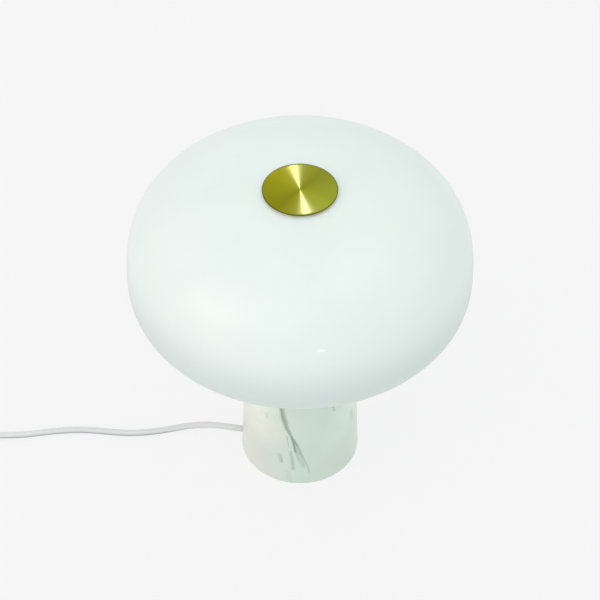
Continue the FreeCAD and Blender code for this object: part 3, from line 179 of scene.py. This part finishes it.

# %% [markdown]
# ## The cord itself
# A curve with a round bevel becomes a tube. The bevel is one metre deep and each control point
# scales it, so the number at a point is the tube's real radius there.

# %% Cord pieces
def spline_tube(name, points, body="base"):
    """A round tube along a smooth spline. Each control point holds the tube's radius there."""
    line = bpy.data.curves.new(name, "CURVE")
    line.dimensions = "3D"
    line.bevel_depth = 1.0
    line.bevel_resolution = 6
    line.resolution_u = 10
    line.use_fill_caps = True
    spline = line.splines.new("NURBS")
    spline.points.add(len(points) - 1)
    rows = np.ones((len(points), 4))
    rows[:, :3] = points
    spline.points.foreach_set("co", rows.ravel())
    spline.points.foreach_set("radius", np.full(len(points), CORD_RADIUS))
    spline.order_u = 3
    spline.use_endpoint_u = True
    piece = add_object(name, line)
    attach(piece, body)
    return piece


lead_cord = spline_tube("lead_cord", LEAD_ROUTE)
wound_cord = spline_tube("wound_cord", WOUND_ROUTE)
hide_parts("cord_lead")
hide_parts("cord_middle", "cord_coil", "cord_tail")

# %% [markdown]
# ## Writing shaders as sums
# A finish is a small calculation that runs at each point of a surface.
# `Link` wraps one output socket, so that `1 - mask * 0.3` adds the Math nodes by itself.
# `Finish` holds one material. Its one method `node` adds any other kind of node: its settings
# are set first, then each of its sockets gets a value or a link.

# %% Shader helpers
class Link:
    """One output socket. Arithmetic on it adds Math nodes."""

    def __init__(self, finish, socket):
        self.finish = finish
        self.socket = socket

    def math(self, operation, *terms):
        return self.finish.node("ShaderNodeMath", {"operation": operation}, dict(enumerate(terms)))

    def vector(self, operation, term=None, output=0):
        inputs = {0: self}
        if term is not None:
            inputs[3 if operation == "SCALE" else 1] = term
        return self.finish.node("ShaderNodeVectorMath", {"operation": operation}, inputs, output)

    def __add__(self, other):
        return self.math("ADD", self, other)

    def __sub__(self, other):
        return self.math("SUBTRACT", self, other)

    def __rsub__(self, other):
        return self.math("SUBTRACT", other, self)

    def __mul__(self, other):
        return self.math("MULTIPLY", self, other)

    def __truediv__(self, other):
        return self.math("DIVIDE", self, other)

    def __pow__(self, other):
        return self.math("POWER", self, other)

    def size(self):
        return self.math("ABSOLUTE", self)

    def clamp(self):
        return self.math("MINIMUM", self.math("MAXIMUM", self, 0.0), 1.0)

    def step(self, low, high):
        """Nought below low, one above high, and a smooth rise between."""
        return self.finish.node("ShaderNodeMapRange", {"interpolation_type": "SMOOTHSTEP"},
                                {"Value": self, "From Min": low, "From Max": high})


class Finish:
    """One material: a Principled shader and the nodes that feed it."""

    def __init__(self, name, **constants):
        self.material = bpy.data.materials.new(name)
        self.material.use_nodes = True
        self.tree = self.material.node_tree
        self.shader = self.tree.nodes["Principled BSDF"]
        self.feed(**constants)

    def feed(self, **values):
        """Set or link the shader's own sockets. A socket is named as base_color or ior."""
        for name, value in values.items():
            title = name.replace("_", " ").title().replace("Ior", "IOR")
            self.put(self.shader.inputs[title], value)
        return self

    def put(self, socket, value):
        """Give a socket a link, a colour or a number."""
        if isinstance(value, Link):
            self.tree.links.new(value.socket, socket)
        elif socket.type == "RGBA" and len(value) == 3:
            socket.default_value = (*value, 1.0)
        else:
            socket.default_value = value

    def node(self, kind, settings=None, inputs=None, output=0):
        made = self.tree.nodes.new(kind)
        for name, value in (settings or {}).items():
            setattr(made, name, value)
        for name, value in (inputs or {}).items():
            self.put(made.inputs[name], value)
        return Link(self, made.outputs[output])

    def place(self):
        """The point on the piece, in millimetres."""
        return self.node("ShaderNodeTexCoord", output="Object").vector("SCALE", MM)

    def parts(self, vector):
        split = self.node("ShaderNodeSeparateXYZ", inputs={0: vector})
        return [Link(self, socket) for socket in split.socket.node.outputs]

    def noise(self, vector, scale, detail=2.0, rough=0.5):
        inputs = {"Vector": vector, "Scale": scale, "Detail": detail, "Roughness": rough}
        return self.node("ShaderNodeTexNoise", {"noise_dimensions": "3D"}, inputs)

    def mix(self, factor, low, high):
        inputs = {"Factor": factor, 6: low, 7: high}
        return self.node("ShaderNodeMix", {"data_type": "RGBA"}, inputs, output=2)

    def bump(self, height, depth):
        """Depth is how far the height of one stands proud, in metres."""
        inputs = {"Height": height, "Strength": 1.0, "Distance": depth}
        return self.node("ShaderNodeBump", inputs=inputs)


# %% [markdown]
# ## Opal glass
# Opal glass is clear glass over a milky core, so it is bright all through and has a wet gloss.
# The body colour is almost white with a breath of green. From the shoulder down to the widest
# ring it is painted darker, as painted shade, and it stays darker below, where the glass is
# tucked in.
# A faint ripple of the blown surface goes into the bump, too shallow to see but in reflections.

# %% Opal glass finish
MILK_THIN = (0.850, 0.926, 0.902)
MILK_THICK = (0.830, 0.912, 0.888)
MILK_PAINTED_SHADE = (0.675, 0.765, 0.745)
PAINTED_SHADE_FULL_BELOW = EQUATOR * MM - 9
PAINTED_SHADE_GONE_ABOVE = EQUATOR * MM + 42


def opal_glass():
    """Milk with slow clouds, pale above one height and painted shade below another."""
    glass = Finish("opal_glass", roughness=0.38, ior=1.5, coat_weight=0.25, coat_roughness=0.05)
    point = glass.place()
    height = glass.parts(point)[2]
    cloud = glass.noise(point, 0.018, 3.0)
    colour = glass.mix(cloud.step(0.35, 0.65), MILK_THICK, MILK_THIN)
    # painted shade: below the belly's height the milk is painted darker
    colour = glass.mix(1 - height.step(PAINTED_SHADE_FULL_BELOW, PAINTED_SHADE_GONE_ABOVE), colour, MILK_PAINTED_SHADE)
    ripple = glass.noise(point, 0.030, 1.0)
    return glass.feed(base_color=colour, normal=glass.bump(ripple, 0.0002)).material


# %% [markdown]
# ## Spun brass
# The disc is spun on a lathe, and the tool leaves hundreds of fine rings round the centre.
# Rings spread a lamp's reflection across them, which draws the bright bow tie that turns as one
# walks round. The shader's anisotropy does this. A quarter turn would lay it along circles, and
# a little less makes a slow spiral, as a turning tool leaves it.
# The rings themselves are noise along the radius, in colour, roughness and bump.
# The two sides across the tie are painted a little brighter, as a painted sheen. The right half
# is painted lighter and greener, as painted light, and the rim's small chamfer is painted dark,
# as a painted reflection.
# The slope under the rim and the underside are polished bright, so they throw light back on the
# glass below.

# %% Spun brass finish
RING_LAY = 0.25 - 0.0264
RINGS_PER_MM = 2.6
PAINTED_SHEEN_SLANT = 0.27
PAINTED_SHEEN_GAIN = 0.37
PAINTED_LIGHT_BEGINS, PAINTED_LIGHT_FULL = -26, 30
# left and right; the right painted lighter and greener, as painted light
LOW_RINGS = ((0.346, 0.330, 0.009), (0.364, 0.392, 0.030))
HIGH_RINGS = ((0.368, 0.352, 0.011), (0.384, 0.412, 0.036))
RIM_PAINTED_DARK = (0.07, 0.10, 0.03)
POLISHED = (0.95, 0.86, 0.55)
POLISHED_BELOW = CAP_FLOOR * MM + 0.4
POLISH_FADE = 0.8
RIM_RADIUS = CAP_RADIUS * MM - 0.9
RIM_HEIGHT = CAP_TOP * MM - 0.9
RIM_FADE = 0.4


def spun_brass():
    """Rings are noise of r = sqrt(x^2 + y^2). The two sides carry a painted sheen: with u the
    sheen's own direction, the colour is painted brighter by (point . u)^2 / r^2, which is one at
    the two sides and nought along the tie."""
    brass = Finish("spun_brass", metallic=1.0, anisotropic=1.0, anisotropic_rotation=RING_LAY)
    x, y, z = brass.parts(brass.place())
    radius = (x * x + y * y) ** 0.5
    line = brass.node("ShaderNodeCombineXYZ", inputs={"X": radius})
    fine = brass.noise(line, RINGS_PER_MM, 4.0, 0.7).step(0.3, 0.7)
    # painted light: the right half of the disc is painted lighter and greener
    right = x.step(PAINTED_LIGHT_BEGINS, PAINTED_LIGHT_FULL)
    low, high = brass.mix(right, *LOW_RINGS), brass.mix(right, *HIGH_RINGS)
    # painted sheen: the two sides across the tie are painted brighter
    across = x - y * PAINTED_SHEEN_SLANT
    painted_sheen = (across * across) / (radius * radius * 1.07 + 0.5)
    colour = brass.mix(fine, low, high).vector("SCALE", painted_sheen * PAINTED_SHEEN_GAIN + 1.0)
    # painted reflection: the rim's small chamfer is painted dark
    rim = radius.step(RIM_RADIUS, RIM_RADIUS + RIM_FADE)
    rim = rim * z.step(RIM_HEIGHT, RIM_HEIGHT + RIM_FADE)
    colour = brass.mix(rim * 0.75, colour, RIM_PAINTED_DARK)
    above = z.step(POLISHED_BELOW, POLISHED_BELOW + POLISH_FADE)
    colour = brass.mix(1 - above, colour, POLISHED)
    return brass.feed(base_color=colour, roughness=fine * 0.04 + 0.45,
                      normal=brass.bump(fine, 0.000004)).material


# %% [markdown]
# ## Veined marble
# Veins are sheets of darker mineral that cross the whole stone, and the surface only shows where
# it cuts them. A sheet is a plane, x + slope * z + lean * y = place, bent by slow noise.
# The distance to it gives the vein's line, and another noise breaks the line into thick, thin
# and missing stretches. Two sheets fill the sides and the back.
# On the front the dark vein and its branches are placed as on the real base. Each is a row of
# short straight strokes, which the noise bends and frays.

# %% Marble finish
STROKES = [
    # x, z to x, z on the front in millimetres, half the width at both ends, how dark
    (-18.6, 113.0, -14.3, 85.0, 2.7, 2.9, 0.50),
    (-14.3, 85.0, -11.2, 73.1, 2.9, 2.2, 0.52),
    (-11.2, 73.1, -7.8, 64.3, 2.2, 1.6, 0.56),
    (-19.6, 113.0, -15.4, 86.0, 1.0, 1.0, 0.62),
    (-15.4, 86.0, -12.1, 73.1, 1.0, 0.9, 0.64),
    (-7.8, 64.3, -5.6, 54.5, 1.5, 1.4, 0.68),
    (-5.6, 54.5, -4.0, 44.0, 1.4, 1.2, 0.70),
    (-4.0, 44.0, -1.1, 31.8, 1.1, 0.8, 0.34),
    (-7.4, 63.5, -2.4, 52.5, 1.4, 1.3, 0.60),
    (-2.4, 52.5, 2.5, 37.6, 1.3, 1.0, 0.46),
    (2.5, 37.6, 5.5, 28.7, 1.0, 0.8, 0.32),
    (5.5, 28.7, 8.8, 15.6, 0.9, 0.7, 0.30),
    (-4.6, 55.0, -1.0, 42.0, 2.0, 3.6, 0.30),
    (-1.0, 42.0, 3.4, 26.0, 3.6, 3.8, 0.18),
    (0.9, 37.3, 3.7, 24.7, 0.9, 0.8, 0.28),
    (-11.7, 63.7, -10.5, 49.8, 1.1, 0.9, 0.20),
    (-18.6, 36.0, -17.4, 28.0, 2.8, 2.4, 0.22),
    (-17.2, 31.5, -16.3, 26.8, 1.3, 1.0, 0.34),
    (-8.6, 43.0, -7.1, 32.6, 1.5, 2.1, 0.28),
    (-7.1, 32.6, -6.2, 20.0, 2.0, 2.0, 0.30),
    (-10.7, 13.9, -9.5, 2.3, 2.8, 3.4, 0.10),
    (-31.3, 85.5, -30.1, 79.2, 1.2, 0.8, 0.16),
    (-28.5, 88.3, -30.1, 79.2, 1.0, 0.8, 0.12),
    (9.9, 104.0, 30.7, 95.1, 1.2, 1.5, 0.25),
    (29.5, 95.6, 31.4, 87.5, 1.5, 1.0, 0.24),
    (46.8, 67.1, 48.1, 55.0, 1.8, 1.4, 0.16),
    # above the part that shows under the shade
    (-31.0, 174.0, -24.5, 146.0, 1.1, 1.8, 0.40),
    (-24.5, 146.0, -18.6, 113.0, 1.8, 2.7, 0.46),
    (-27.0, 158.0, -19.6, 113.0, 0.8, 1.0, 0.56),
    (-24.5, 146.0, -11.0, 131.0, 1.1, 0.7, 0.26),
    (8.0, 160.0, 21.0, 138.0, 0.8, 1.4, 0.20),
]
# each sheet's place, slope, lean and bend
SIDE_SHEET = (-64.0, -0.55, 1.1, 9.0)
BACK_SHEET = (44.0, 0.42, -0.9, 10.0)
HALO_WIDTH = 14.0
# how far the slow and the quick noise push a vein, and how far the slow one pushes the tones
VEIN_SWAY = 5.0
VEIN_FRAY = 2.2
SHEET_FRAY = 2.4
TONE_SWAY = 30
RISE_SWAY = 20
# where one look gives way to the next, in millimetres
FRONT_BAND = (-18, -6)
LEFT_BAND = (-44, -4)
RIGHT_BAND = (2, 40)
RISE_BAND = (28, 94)
VEIN_BAND = (45, 75)
# left, middle and right; upper painted lighter, lower painted darker, as painted light
LIT_UPPER_STONE = ((0.985, 0.985, 0.86), (0.68, 0.795, 0.685), (0.855, 0.97, 0.88))
SHADED_LOWER_STONE = ((0.79, 0.80, 0.725), (0.68, 0.80, 0.70), (0.70, 0.80, 0.71))
CLOUD_STONE = (0.62, 0.72, 0.62)
HALO_STONE = (0.50, 0.60, 0.53)
VEIN_LOW = (0.10, 0.155, 0.135)
VEIN_HIGH = (0.10, 0.135, 0.075)


def veined_marble():
    """Three tones from left to right, partly the stone's own and partly painted warm light on the
    left, and two from foot to top, painted light above and painted shade below, then clouds,
    halos and veins.
    """
    stone = Finish("veined_marble", roughness=0.32, ior=1.5, coat_weight=0.2, coat_roughness=0.12)
    point = stone.place()
    x, y, z = stone.parts(point)
    slow = stone.noise(point, 0.022, 4.0, 0.6) - 0.5
    quick = stone.noise(point, 0.16, 4.0, 0.65) - 0.5
    broken = stone.noise(point, 0.055, 2.0)
    bent = {"X": x + quick * VEIN_FRAY, "Z": z + slow * VEIN_SWAY}
    front_view = stone.node("ShaderNodeCombineXYZ", inputs=bent)

    def stroke(x0, z0, x1, z1, wide0, wide1, dark):
        """Dark on a line between two points of the front, fading sideways.
        t runs from 0 to 1 along the line."""
        run = (x1 - x0, 0.0, z1 - z0)
        far = run[0] ** 2 + run[2] ** 2
        start = front_view.vector("SUBTRACT", (x0, 0.0, z0))
        t = (start.vector("DOT_PRODUCT", run, output=1) / far).clamp()
        along = stone.node("ShaderNodeVectorMath", {"operation": "SCALE"}, {0: run, 3: t})
        off = start.vector("SUBTRACT", along).vector("LENGTH", output=1)
        return (1 - (off / (t * (wide1 - wide0) + wide0)).step(0.2, 1.4)) * dark

    def sheet(place, slope, lean, bend, width):
        """How near a point is to a bent plane x + slope z + lean y = place:
        one on it, nought a width away."""
        off = x + z * slope + y * lean - place + slow * (2 * bend) + quick * SHEET_FRAY
        return 1 - off.size().step(width * 0.25, width)

    def side_to_side(left_tone, middle_tone, right_tone):
        return stone.mix(right, stone.mix(left, left_tone, middle_tone), right_tone)

    front = 1 - y.step(*FRONT_BAND)
    strokes = stroke(*STROKES[0])
    for numbers in STROKES[1:]:
        strokes = strokes.math("MAXIMUM", strokes, stroke(*numbers))
    grain = stone.noise(point, 0.45, 3.0, 0.7)
    strokes = strokes * (grain * 0.5 + 0.75)
    side_vein = sheet(*SIDE_SHEET, 2.2) * broken.step(0.46, 0.62) * 0.4
    back_vein = sheet(*BACK_SHEET, 2.4) * broken.step(0.42, 0.6) * 0.5
    veins = strokes * front + (side_vein + back_vein) * (1 - front)
    halo = (sheet(*SIDE_SHEET, HALO_WIDTH) + sheet(*BACK_SHEET, HALO_WIDTH)) * (1 - front) * 0.22
    # the left tone is partly the stone's cream and partly painted warm light
    left = (x + slow * TONE_SWAY).step(*LEFT_BAND)
    right = (x - z * 0.2 + slow * TONE_SWAY).step(*RIGHT_BAND)
    # painted light and shade: the stone is painted lighter towards the top and darker at the foot
    high = (z + slow * RISE_SWAY).step(*RISE_BAND)
    colour = stone.mix(high, side_to_side(*SHADED_LOWER_STONE), side_to_side(*LIT_UPPER_STONE))
    cloud = stone.noise(point, 0.035, 4.0, 0.55).step(0.42, 0.66)
    colour = stone.mix(cloud * 0.2, colour, CLOUD_STONE)
    colour = stone.mix(halo, colour, HALO_STONE)
    vein_colour = stone.mix(z.step(*VEIN_BAND), VEIN_LOW, VEIN_HIGH)
    colour = stone.mix(veins.clamp(), colour, vein_colour)
    return stone.feed(base_color=colour, roughness=veins * 0.1 + 0.28,
                      normal=stone.bump(quick, 0.00002)).material


# %% [markdown]
# ## Plain finishes
# Most other pieces are moulded, plated or fired, and each of those leaves a grain of its own.
# One function gives them all: a colour that drifts a little, a roughness that drifts with it,
# and a fine bump. The numbers it takes are what sets a satin plastic apart from a plated steel.
# The cord's sheath has a finish of its own: it is painted darker low on its sides, as painted
# shade near the floor, and it is rougher there.

# %% Plain finishes
GLOSS_DRIFT = 0.12
SHEATH_PAINTED_SHADE = (0.24, 0.26, 0.29)
SHEATH_CLEAN = (0.79, 0.79, 0.80)


def cord_sheath():
    """A glossy sheath, painted darker as painted shade and rougher within a few millimetres
    of the floor.
    """
    sheath = Finish("cord_pvc", coat_weight=0.6, coat_roughness=0.15)
    point = sheath.place()
    height = sheath.parts(point)[2]
    speckle = sheath.noise(point, 0.9, 3.0, 0.6)
    # painted shade: the sheath is painted darker within a few millimetres of the floor
    unshaded = height.step(1.3, 4.9)
    colour = sheath.mix(unshaded, SHEATH_PAINTED_SHADE, SHEATH_CLEAN)
    gloss = speckle * GLOSS_DRIFT + (0.30 - unshaded * 0.1)
    return sheath.feed(base_color=colour, roughness=gloss,
                       normal=sheath.bump(speckle, 0.00001)).material


def plain(name, colour, roughness, grain, depth=0.00002, drift=0.06, **constants):
    """A finish whose colour and roughness drift over a grain of so many per millimetre."""
    finish = Finish(name, **constants)
    point = finish.place()
    cloud = finish.noise(point, 0.05, 3.0)
    speckle = finish.noise(point, grain, 3.0, 0.6)
    darker = tuple(channel * (1 - 2 * drift) for channel in colour)
    mixed = finish.mix(cloud * 0.6 + speckle * 0.4, darker, colour)
    gloss = speckle * GLOSS_DRIFT + (roughness - GLOSS_DRIFT / 2)
    return finish.feed(base_color=mixed, roughness=gloss,
                       normal=finish.bump(speckle, depth)).material


METAL = {"metallic": 1.0}
SOFT_RUBBER = {"subsurface_weight": 0.2, "subsurface_scale": 0.002}
FROSTED = {"subsurface_weight": 0.4, "subsurface_scale": 0.003}
FUZZ = {"sheen_weight": 0.4}
PLAIN_FINISHES = {
    # colour, roughness, grain, and where they aren't the usual ones the depth and the drift
    "switch_plastic": ((0.80, 0.80, 0.80), 0.30, 1.4, 0.00001, 0.03),
    "rocker_plastic": ((0.72, 0.72, 0.72), 0.24, 1.2, 0.00001, 0.03),
    "plug_plastic": ((0.74, 0.74, 0.75), 0.45, 2.0, 0.00003, 0.03),
    "sleeve_plastic": ((0.60, 0.60, 0.61), 0.4, 1.0),
    "tie_plastic": ((0.55, 0.56, 0.57), 0.42, 1.0),
    "terminal_plastic": ((0.72, 0.72, 0.66), 0.5, 1.0),
    "nylon_white": ((0.80, 0.81, 0.78), 0.5, 1.0),
    "core_pvc": ((0.10, 0.16, 0.45), 0.45, 0.8),
    "lead_silicone": ((0.75, 0.73, 0.66), 0.55, 0.8),
    "silicone": ((0.72, 0.78, 0.75), 0.5, 0.5),
    "felt": ((0.62, 0.62, 0.60), 0.95, 1.2, 0.0002, 0.15),
    "ceramic": ((0.78, 0.76, 0.70), 0.7, 1.6, 0.00004, 0.05),
    "bulb_ceramic": ((0.84, 0.84, 0.81), 0.3, 0.8, 0.00001, 0.03),
    "bulb_frost": ((0.86, 0.86, 0.83), 0.5, 2.0, 0.00001, 0.02),
    "white_enamel": ((0.80, 0.82, 0.80), 0.35, 1.2, 0.00003, 0.03),
    "zinc_steel": ((0.62, 0.63, 0.66), 0.34, 0.6, 0.00002, 0.08),
    "steel_screw": ((0.55, 0.56, 0.58), 0.3, 0.9, 0.00002, 0.08),
    "pin_metal": ((0.72, 0.70, 0.64), 0.16, 0.7, 0.00001, 0.05),
    "brass_fixing": ((0.62, 0.50, 0.20), 0.3, 0.7, 0.00002, 0.08),
}
CONSTANTS = {
    "silicone": SOFT_RUBBER, "felt": FUZZ, "bulb_frost": FROSTED,
    "zinc_steel": METAL, "steel_screw": METAL, "pin_metal": METAL, "brass_fixing": METAL,
}
FINISHES = {"cord_pvc": cord_sheath()}
for name, numbers in PLAIN_FINISHES.items():
    FINISHES[name] = plain(name, *numbers, **CONSTANTS.get(name, {}))
FINISHES.update(opal_glass=opal_glass(), spun_brass=spun_brass(), marble=veined_marble())
print("finishes:", len(FINISHES))

# %% [markdown]
# ## Finishes on the solids
# The part's own record says which slot each solid belongs to, and a slot names one finish.
# A new piece is given the finish of its slot.

# %% Finishes on the solids
slot_of = {row["node"]: row["material_slot"] for row in frame["record"]["subparts"]}
for name, piece in nodes.items():
    piece.data.materials.clear()
    piece.data.materials.append(FINISHES[slot_of[name]])


def finish_piece(piece, slot):
    """Give a new piece the finish of a slot."""
    piece.data.materials.append(FINISHES[slot])
    return piece


finish_piece(lead_cord, "cord_pvc")
finish_piece(wound_cord, "cord_pvc")
print("slots in use:", len(set(slot_of.values())))

# %% [markdown]
# ## Round surfaces from a profile
# Everything on this lamp that matters was turned, spun or blown, so it is a profile carried
# round an axis. A point of such a surface has two parameters: how far along the profile, and
# the angle round the axis. All the points come out of one multiplication of arrays, and the
# faces are a grid of four-sided cells.

# %% Surface of revolution
def turned_piece(name, profile, slot, body, steps):
    """(r, z) along the profile and an angle a: x = r cos(a), y = r sin(a), z = z.
    The profile is a loop, so its last ring joins its first."""
    radius, height = np.asarray(profile, float).T
    rings = len(radius)
    angle = np.arange(steps) * (2 * math.pi / steps)
    x = np.outer(radius, np.cos(angle))
    y = np.outer(radius, np.sin(angle))
    z = np.outer(height, np.ones(steps))
    points = np.stack([x, y, z], -1).reshape(-1, 3)
    ring, column = np.meshgrid(np.arange(rings), np.arange(steps), indexing="ij")
    this, after, beside = ring * steps, (ring + 1) % rings * steps, (column + 1) % steps
    faces = np.stack([this + column, this + beside, after + beside, after + column], -1)
    mesh = bpy.data.meshes.new(name)
    mesh.from_pydata(points.tolist(), [], faces.reshape(-1, 4).tolist())
    mesh.shade_smooth()
    piece = add_object(name, mesh)
    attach(piece, body)
    print(name, "points", len(points), "faces", len(mesh.polygons))
    return finish_piece(piece, slot)


# %% [markdown]
# ## The blown shade
# The shade is flat on top, round at the side and tucked in below, which a circle or an ellipse
# can't give. A superellipse can: (r / a)^n + (z / c)^n = 1, where a power above 2 fills out the
# shoulder. The crown and the belly each have their own height and power and meet at the widest
# ring. The inner wall is the same curve moved inward along its own normal, so the glass is
# evenly thick.

# %% Shade of opal glass
CURVE_SAMPLES = 4000
CROWN_POINTS = 70
BELLY_POINTS = 50
RIM_ROUND = 0.0006
RIM_LIFT = 0.0001
WELL_INSIDE = 0.03


def superellipse(height, power, stop, inward, count):
    """Points of one quarter from the widest ring to the radius where the glass stops.
    At an angle a the curve lies ((cos a / R)^n + (sin a / c)^n)^(-1/n) from its centre, and its
    normal is the slope of (r / R)^n + (z / c)^n. The points are evenly spaced along the curve."""
    rise = abs(height)
    angle = np.linspace(0, math.pi / 2, CURVE_SAMPLES)
    spread = (np.cos(angle) / SHADE_RADIUS) ** power + (np.sin(angle) / rise) ** power
    reach = spread ** (-1 / power)
    r, z = reach * np.cos(angle), reach * np.sin(angle)
    slope_r = (r / SHADE_RADIUS) ** (power - 1) / SHADE_RADIUS
    slope_z = (z / rise) ** (power - 1) / rise
    steep = np.hypot(slope_r, slope_z)
    r, z = r - inward * slope_r / steep, z - inward * slope_z / steep
    keep = r >= stop
    r, z = r[keep], z[keep]
    along = np.concatenate([[0], np.cumsum(np.hypot(np.diff(r), np.diff(z)))])
    at = np.linspace(0, along[-1], count)
    up = EQUATOR + math.copysign(1, height) * np.interp(at, along, z)
    return np.stack([np.interp(at, along, r), up], 1)


def rim_stop():
    """The radius at which the outer wall reaches the ground rim."""
    curve = superellipse(*BELLY, WELL_INSIDE, 0, CURVE_SAMPLES)
    return float(curve[np.argmin(np.abs(curve[:, 1] - RIM_LEVEL - RIM_LIFT)), 0])


crown_out = superellipse(*CROWN, TOP_HOLE, 0, CROWN_POINTS)
crown_in = superellipse(*CROWN, TOP_HOLE, GLASS_WALL, CROWN_POINTS)
belly_out = superellipse(*BELLY, rim_stop(), 0, BELLY_POINTS)
belly_in = superellipse(*BELLY, MOUTH_RADIUS + RIM_ROUND, GLASS_WALL, BELLY_POINTS)
rim = np.array([
    [belly_out[-1, 0] - RIM_ROUND, RIM_LEVEL],
    [MOUTH_RADIUS + 0.0004, RIM_LEVEL],
    [MOUTH_RADIUS, RIM_LEVEL + RIM_ROUND],
])
outer_wall = np.concatenate([crown_out[::-1], belly_out[1:]])
inner_wall = np.concatenate([belly_in[::-1], crown_in[1:]])
glass_profile = np.concatenate([outer_wall, rim, inner_wall])
glass_shade = turned_piece("glass_shade", glass_profile, "opal_glass", "shade", steps=200)
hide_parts("opal_shade")

# %% [markdown]
# ## The spun disc
# The cap is a flat brass disc with a small rounded edge. Its top is turned in rings that are
# finer than a hair, so only the shader shows them. The edge, the slope under it, the shallow
# dish and the recess in the middle of the underside are shape.

# %% Brass disc
TOP_EDGE = 0.0003
UNDER_SLOPE = 0.0012
DISH = 0.00012
POLE = 0.0001


def disc_profile():
    """Up the recess, out along the underside, up the slope under the rim, round its top and in
    over a dish: z = top - dish * (1 - (r / R)^2). It stops just short of the axis."""
    recess_radius, recess_depth = CAP_RECESS
    below = [
        (POLE, CAP_FLOOR + recess_depth),
        (recess_radius, CAP_FLOOR + recess_depth),
        (recess_radius, CAP_FLOOR),
        (CAP_RADIUS - UNDER_SLOPE, CAP_FLOOR),
        (CAP_RADIUS, CAP_FLOOR + UNDER_SLOPE),
    ]
    turn = np.linspace(0, math.pi / 2, 6)
    edge_radius = CAP_RADIUS - TOP_EDGE + TOP_EDGE * np.cos(turn)
    edge_height = CAP_TOP - TOP_EDGE + TOP_EDGE * np.sin(turn)
    radius = np.linspace(CAP_RADIUS - TOP_EDGE * 1.5, POLE, 60)
    height = CAP_TOP - DISH * (1 - (radius / CAP_RADIUS) ** 2)
    edge = np.stack([edge_radius, edge_height], 1)
    return np.concatenate([below, edge, np.stack([radius, height], 1)])


brass_disc = turned_piece("brass_disc", disc_profile(), "spun_brass", "cap", steps=180)
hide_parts("brass_cap")

# %% [markdown]
# ## The floor
# The lamp stands on a seamless pale floor that fills the picture.
# A share of the floor glows by itself for the camera and for reflections, which makes it even.
# The rest is matt paper that takes the lamp's shadow.

# %% Floor
PAPER = (0.930, 0.930, 0.930)
GLOW_SHARE = 0.9
HALF_FLOOR = 20.0
FLOOR_LEVEL = -0.0001


def paper_floor():
    """A mix of a matt surface that takes shadows and an even glow for camera and reflections."""
    floor = Finish("paper_floor", base_color=(0.90, 0.90, 0.90), roughness=0.9,
                   specular_ior_level=0.1)
    glow = floor.node("ShaderNodeEmission", inputs={"Color": PAPER, "Strength": 1.0})
    rays = floor.node("ShaderNodeLightPath").socket.node.outputs
    seen = Link(floor, rays["Is Camera Ray"])
    shiny = Link(floor, rays["Is Glossy Ray"])
    through = Link(floor, rays["Is Transmission Ray"])
    share = (seen + shiny + through).clamp() * GLOW_SHARE
    paper = Link(floor, floor.shader.outputs[0])
    mixed = floor.node("ShaderNodeMixShader", inputs={0: share, 1: paper, 2: glow})
    floor.tree.links.new(mixed.socket, floor.tree.nodes["Material Output"].inputs["Surface"])
    return floor.material


floor_mesh = bpy.data.meshes.new("studio_floor")
corners = [(x * HALF_FLOOR, y * HALF_FLOOR, FLOOR_LEVEL)
           for x, y in ((-1, -1), (1, -1), (1, 1), (-1, 1))]
floor_mesh.from_pydata(corners, [], [(0, 1, 2, 3)])
floor_mesh.materials.append(paper_floor())
floor = add_object("studio_floor", floor_mesh)
print("floor", 2 * HALF_FLOOR, "m across")

# %% [markdown]
# ## The lights
# Large soft lights and a pale sky light the lamp from all round, as a studio's tent does.
# One narrow lamp straight overhead draws the bow tie on the brass, because rings only show what
# is small and bright. Its beam is no wider than the disc, so it stays off the glass.
# A small lamp in front leaves one spark on the gloss.

# %% Lights
LAMP_MIDDLE = (0, 0, 0.22)
DISC_MIDDLE = (0, 0, CAP_TOP)
SKY = (0.96, 1.0, 0.98, 1)
SKY_STRENGTH = 0.82


def hang(name, light, place, aim):
    """Put a light at a place and turn it to face a point."""
    lamp = add_object(name, light)
    lamp.location = place
    lamp.rotation_euler = (Vector(aim) - Vector(place)).to_track_quat("-Z", "Y").to_euler()
    print(name, round(light.energy, 3), "W at", place)


def soft_light(name, place, width, height, power, colour=(1, 1, 1)):
    """A rectangular light that faces the middle of the lamp."""
    light = bpy.data.lights.new(name, "AREA")
    light.shape = "RECTANGLE"
    light.size = width
    light.size_y = height
    light.energy = power
    light.color = colour
    hang(name, light, place, LAMP_MIDDLE)


def narrow_light(name, place, reach, power, colour):
    """A spotlight on the disc. Half its cone's angle is atan(reach / distance)."""
    light = bpy.data.lights.new(name, "SPOT")
    distance = (Vector(DISC_MIDDLE) - Vector(place)).length
    light.spot_size = 2 * math.atan(reach / distance)
    light.spot_blend = 0.03
    light.shadow_soft_size = 0.001
    light.energy = power
    light.color = colour
    hang(name, light, place, DISC_MIDDLE)


soft_light("left_light", (-1.42, -0.76, 1.36), 1.1, 1.1, 4.6, (1.0, 0.70, 0.76))
soft_light("left_high_light", (-0.55, -1.10, 1.75), 1.6, 1.6, 3.4)
soft_light("top_light", (0.58, 0.32, 1.89), 0.8, 0.8, 1.5)
soft_light("spark_light", (0.33, -1.60, 0.457), 0.09, 0.13, 0.65)
narrow_light("tie_light", (0.012, 0, 1.56), 0.0305, 320.0, (0.132, 0.123, 1.0))

world = bpy.data.worlds.new("studio_world")
world.use_nodes = True
sky = world.node_tree.nodes["Background"]
sky.inputs["Color"].default_value = SKY
sky.inputs["Strength"].default_value = SKY_STRENGTH
bpy.context.scene.world = world
bpy.context.scene.view_settings.view_transform = "Standard"

# %% [markdown]
# ## The last step
# The view layer is brought up to date, so that every piece stands where it was put.

# %% Update the view layer
bpy.context.view_layer.update()
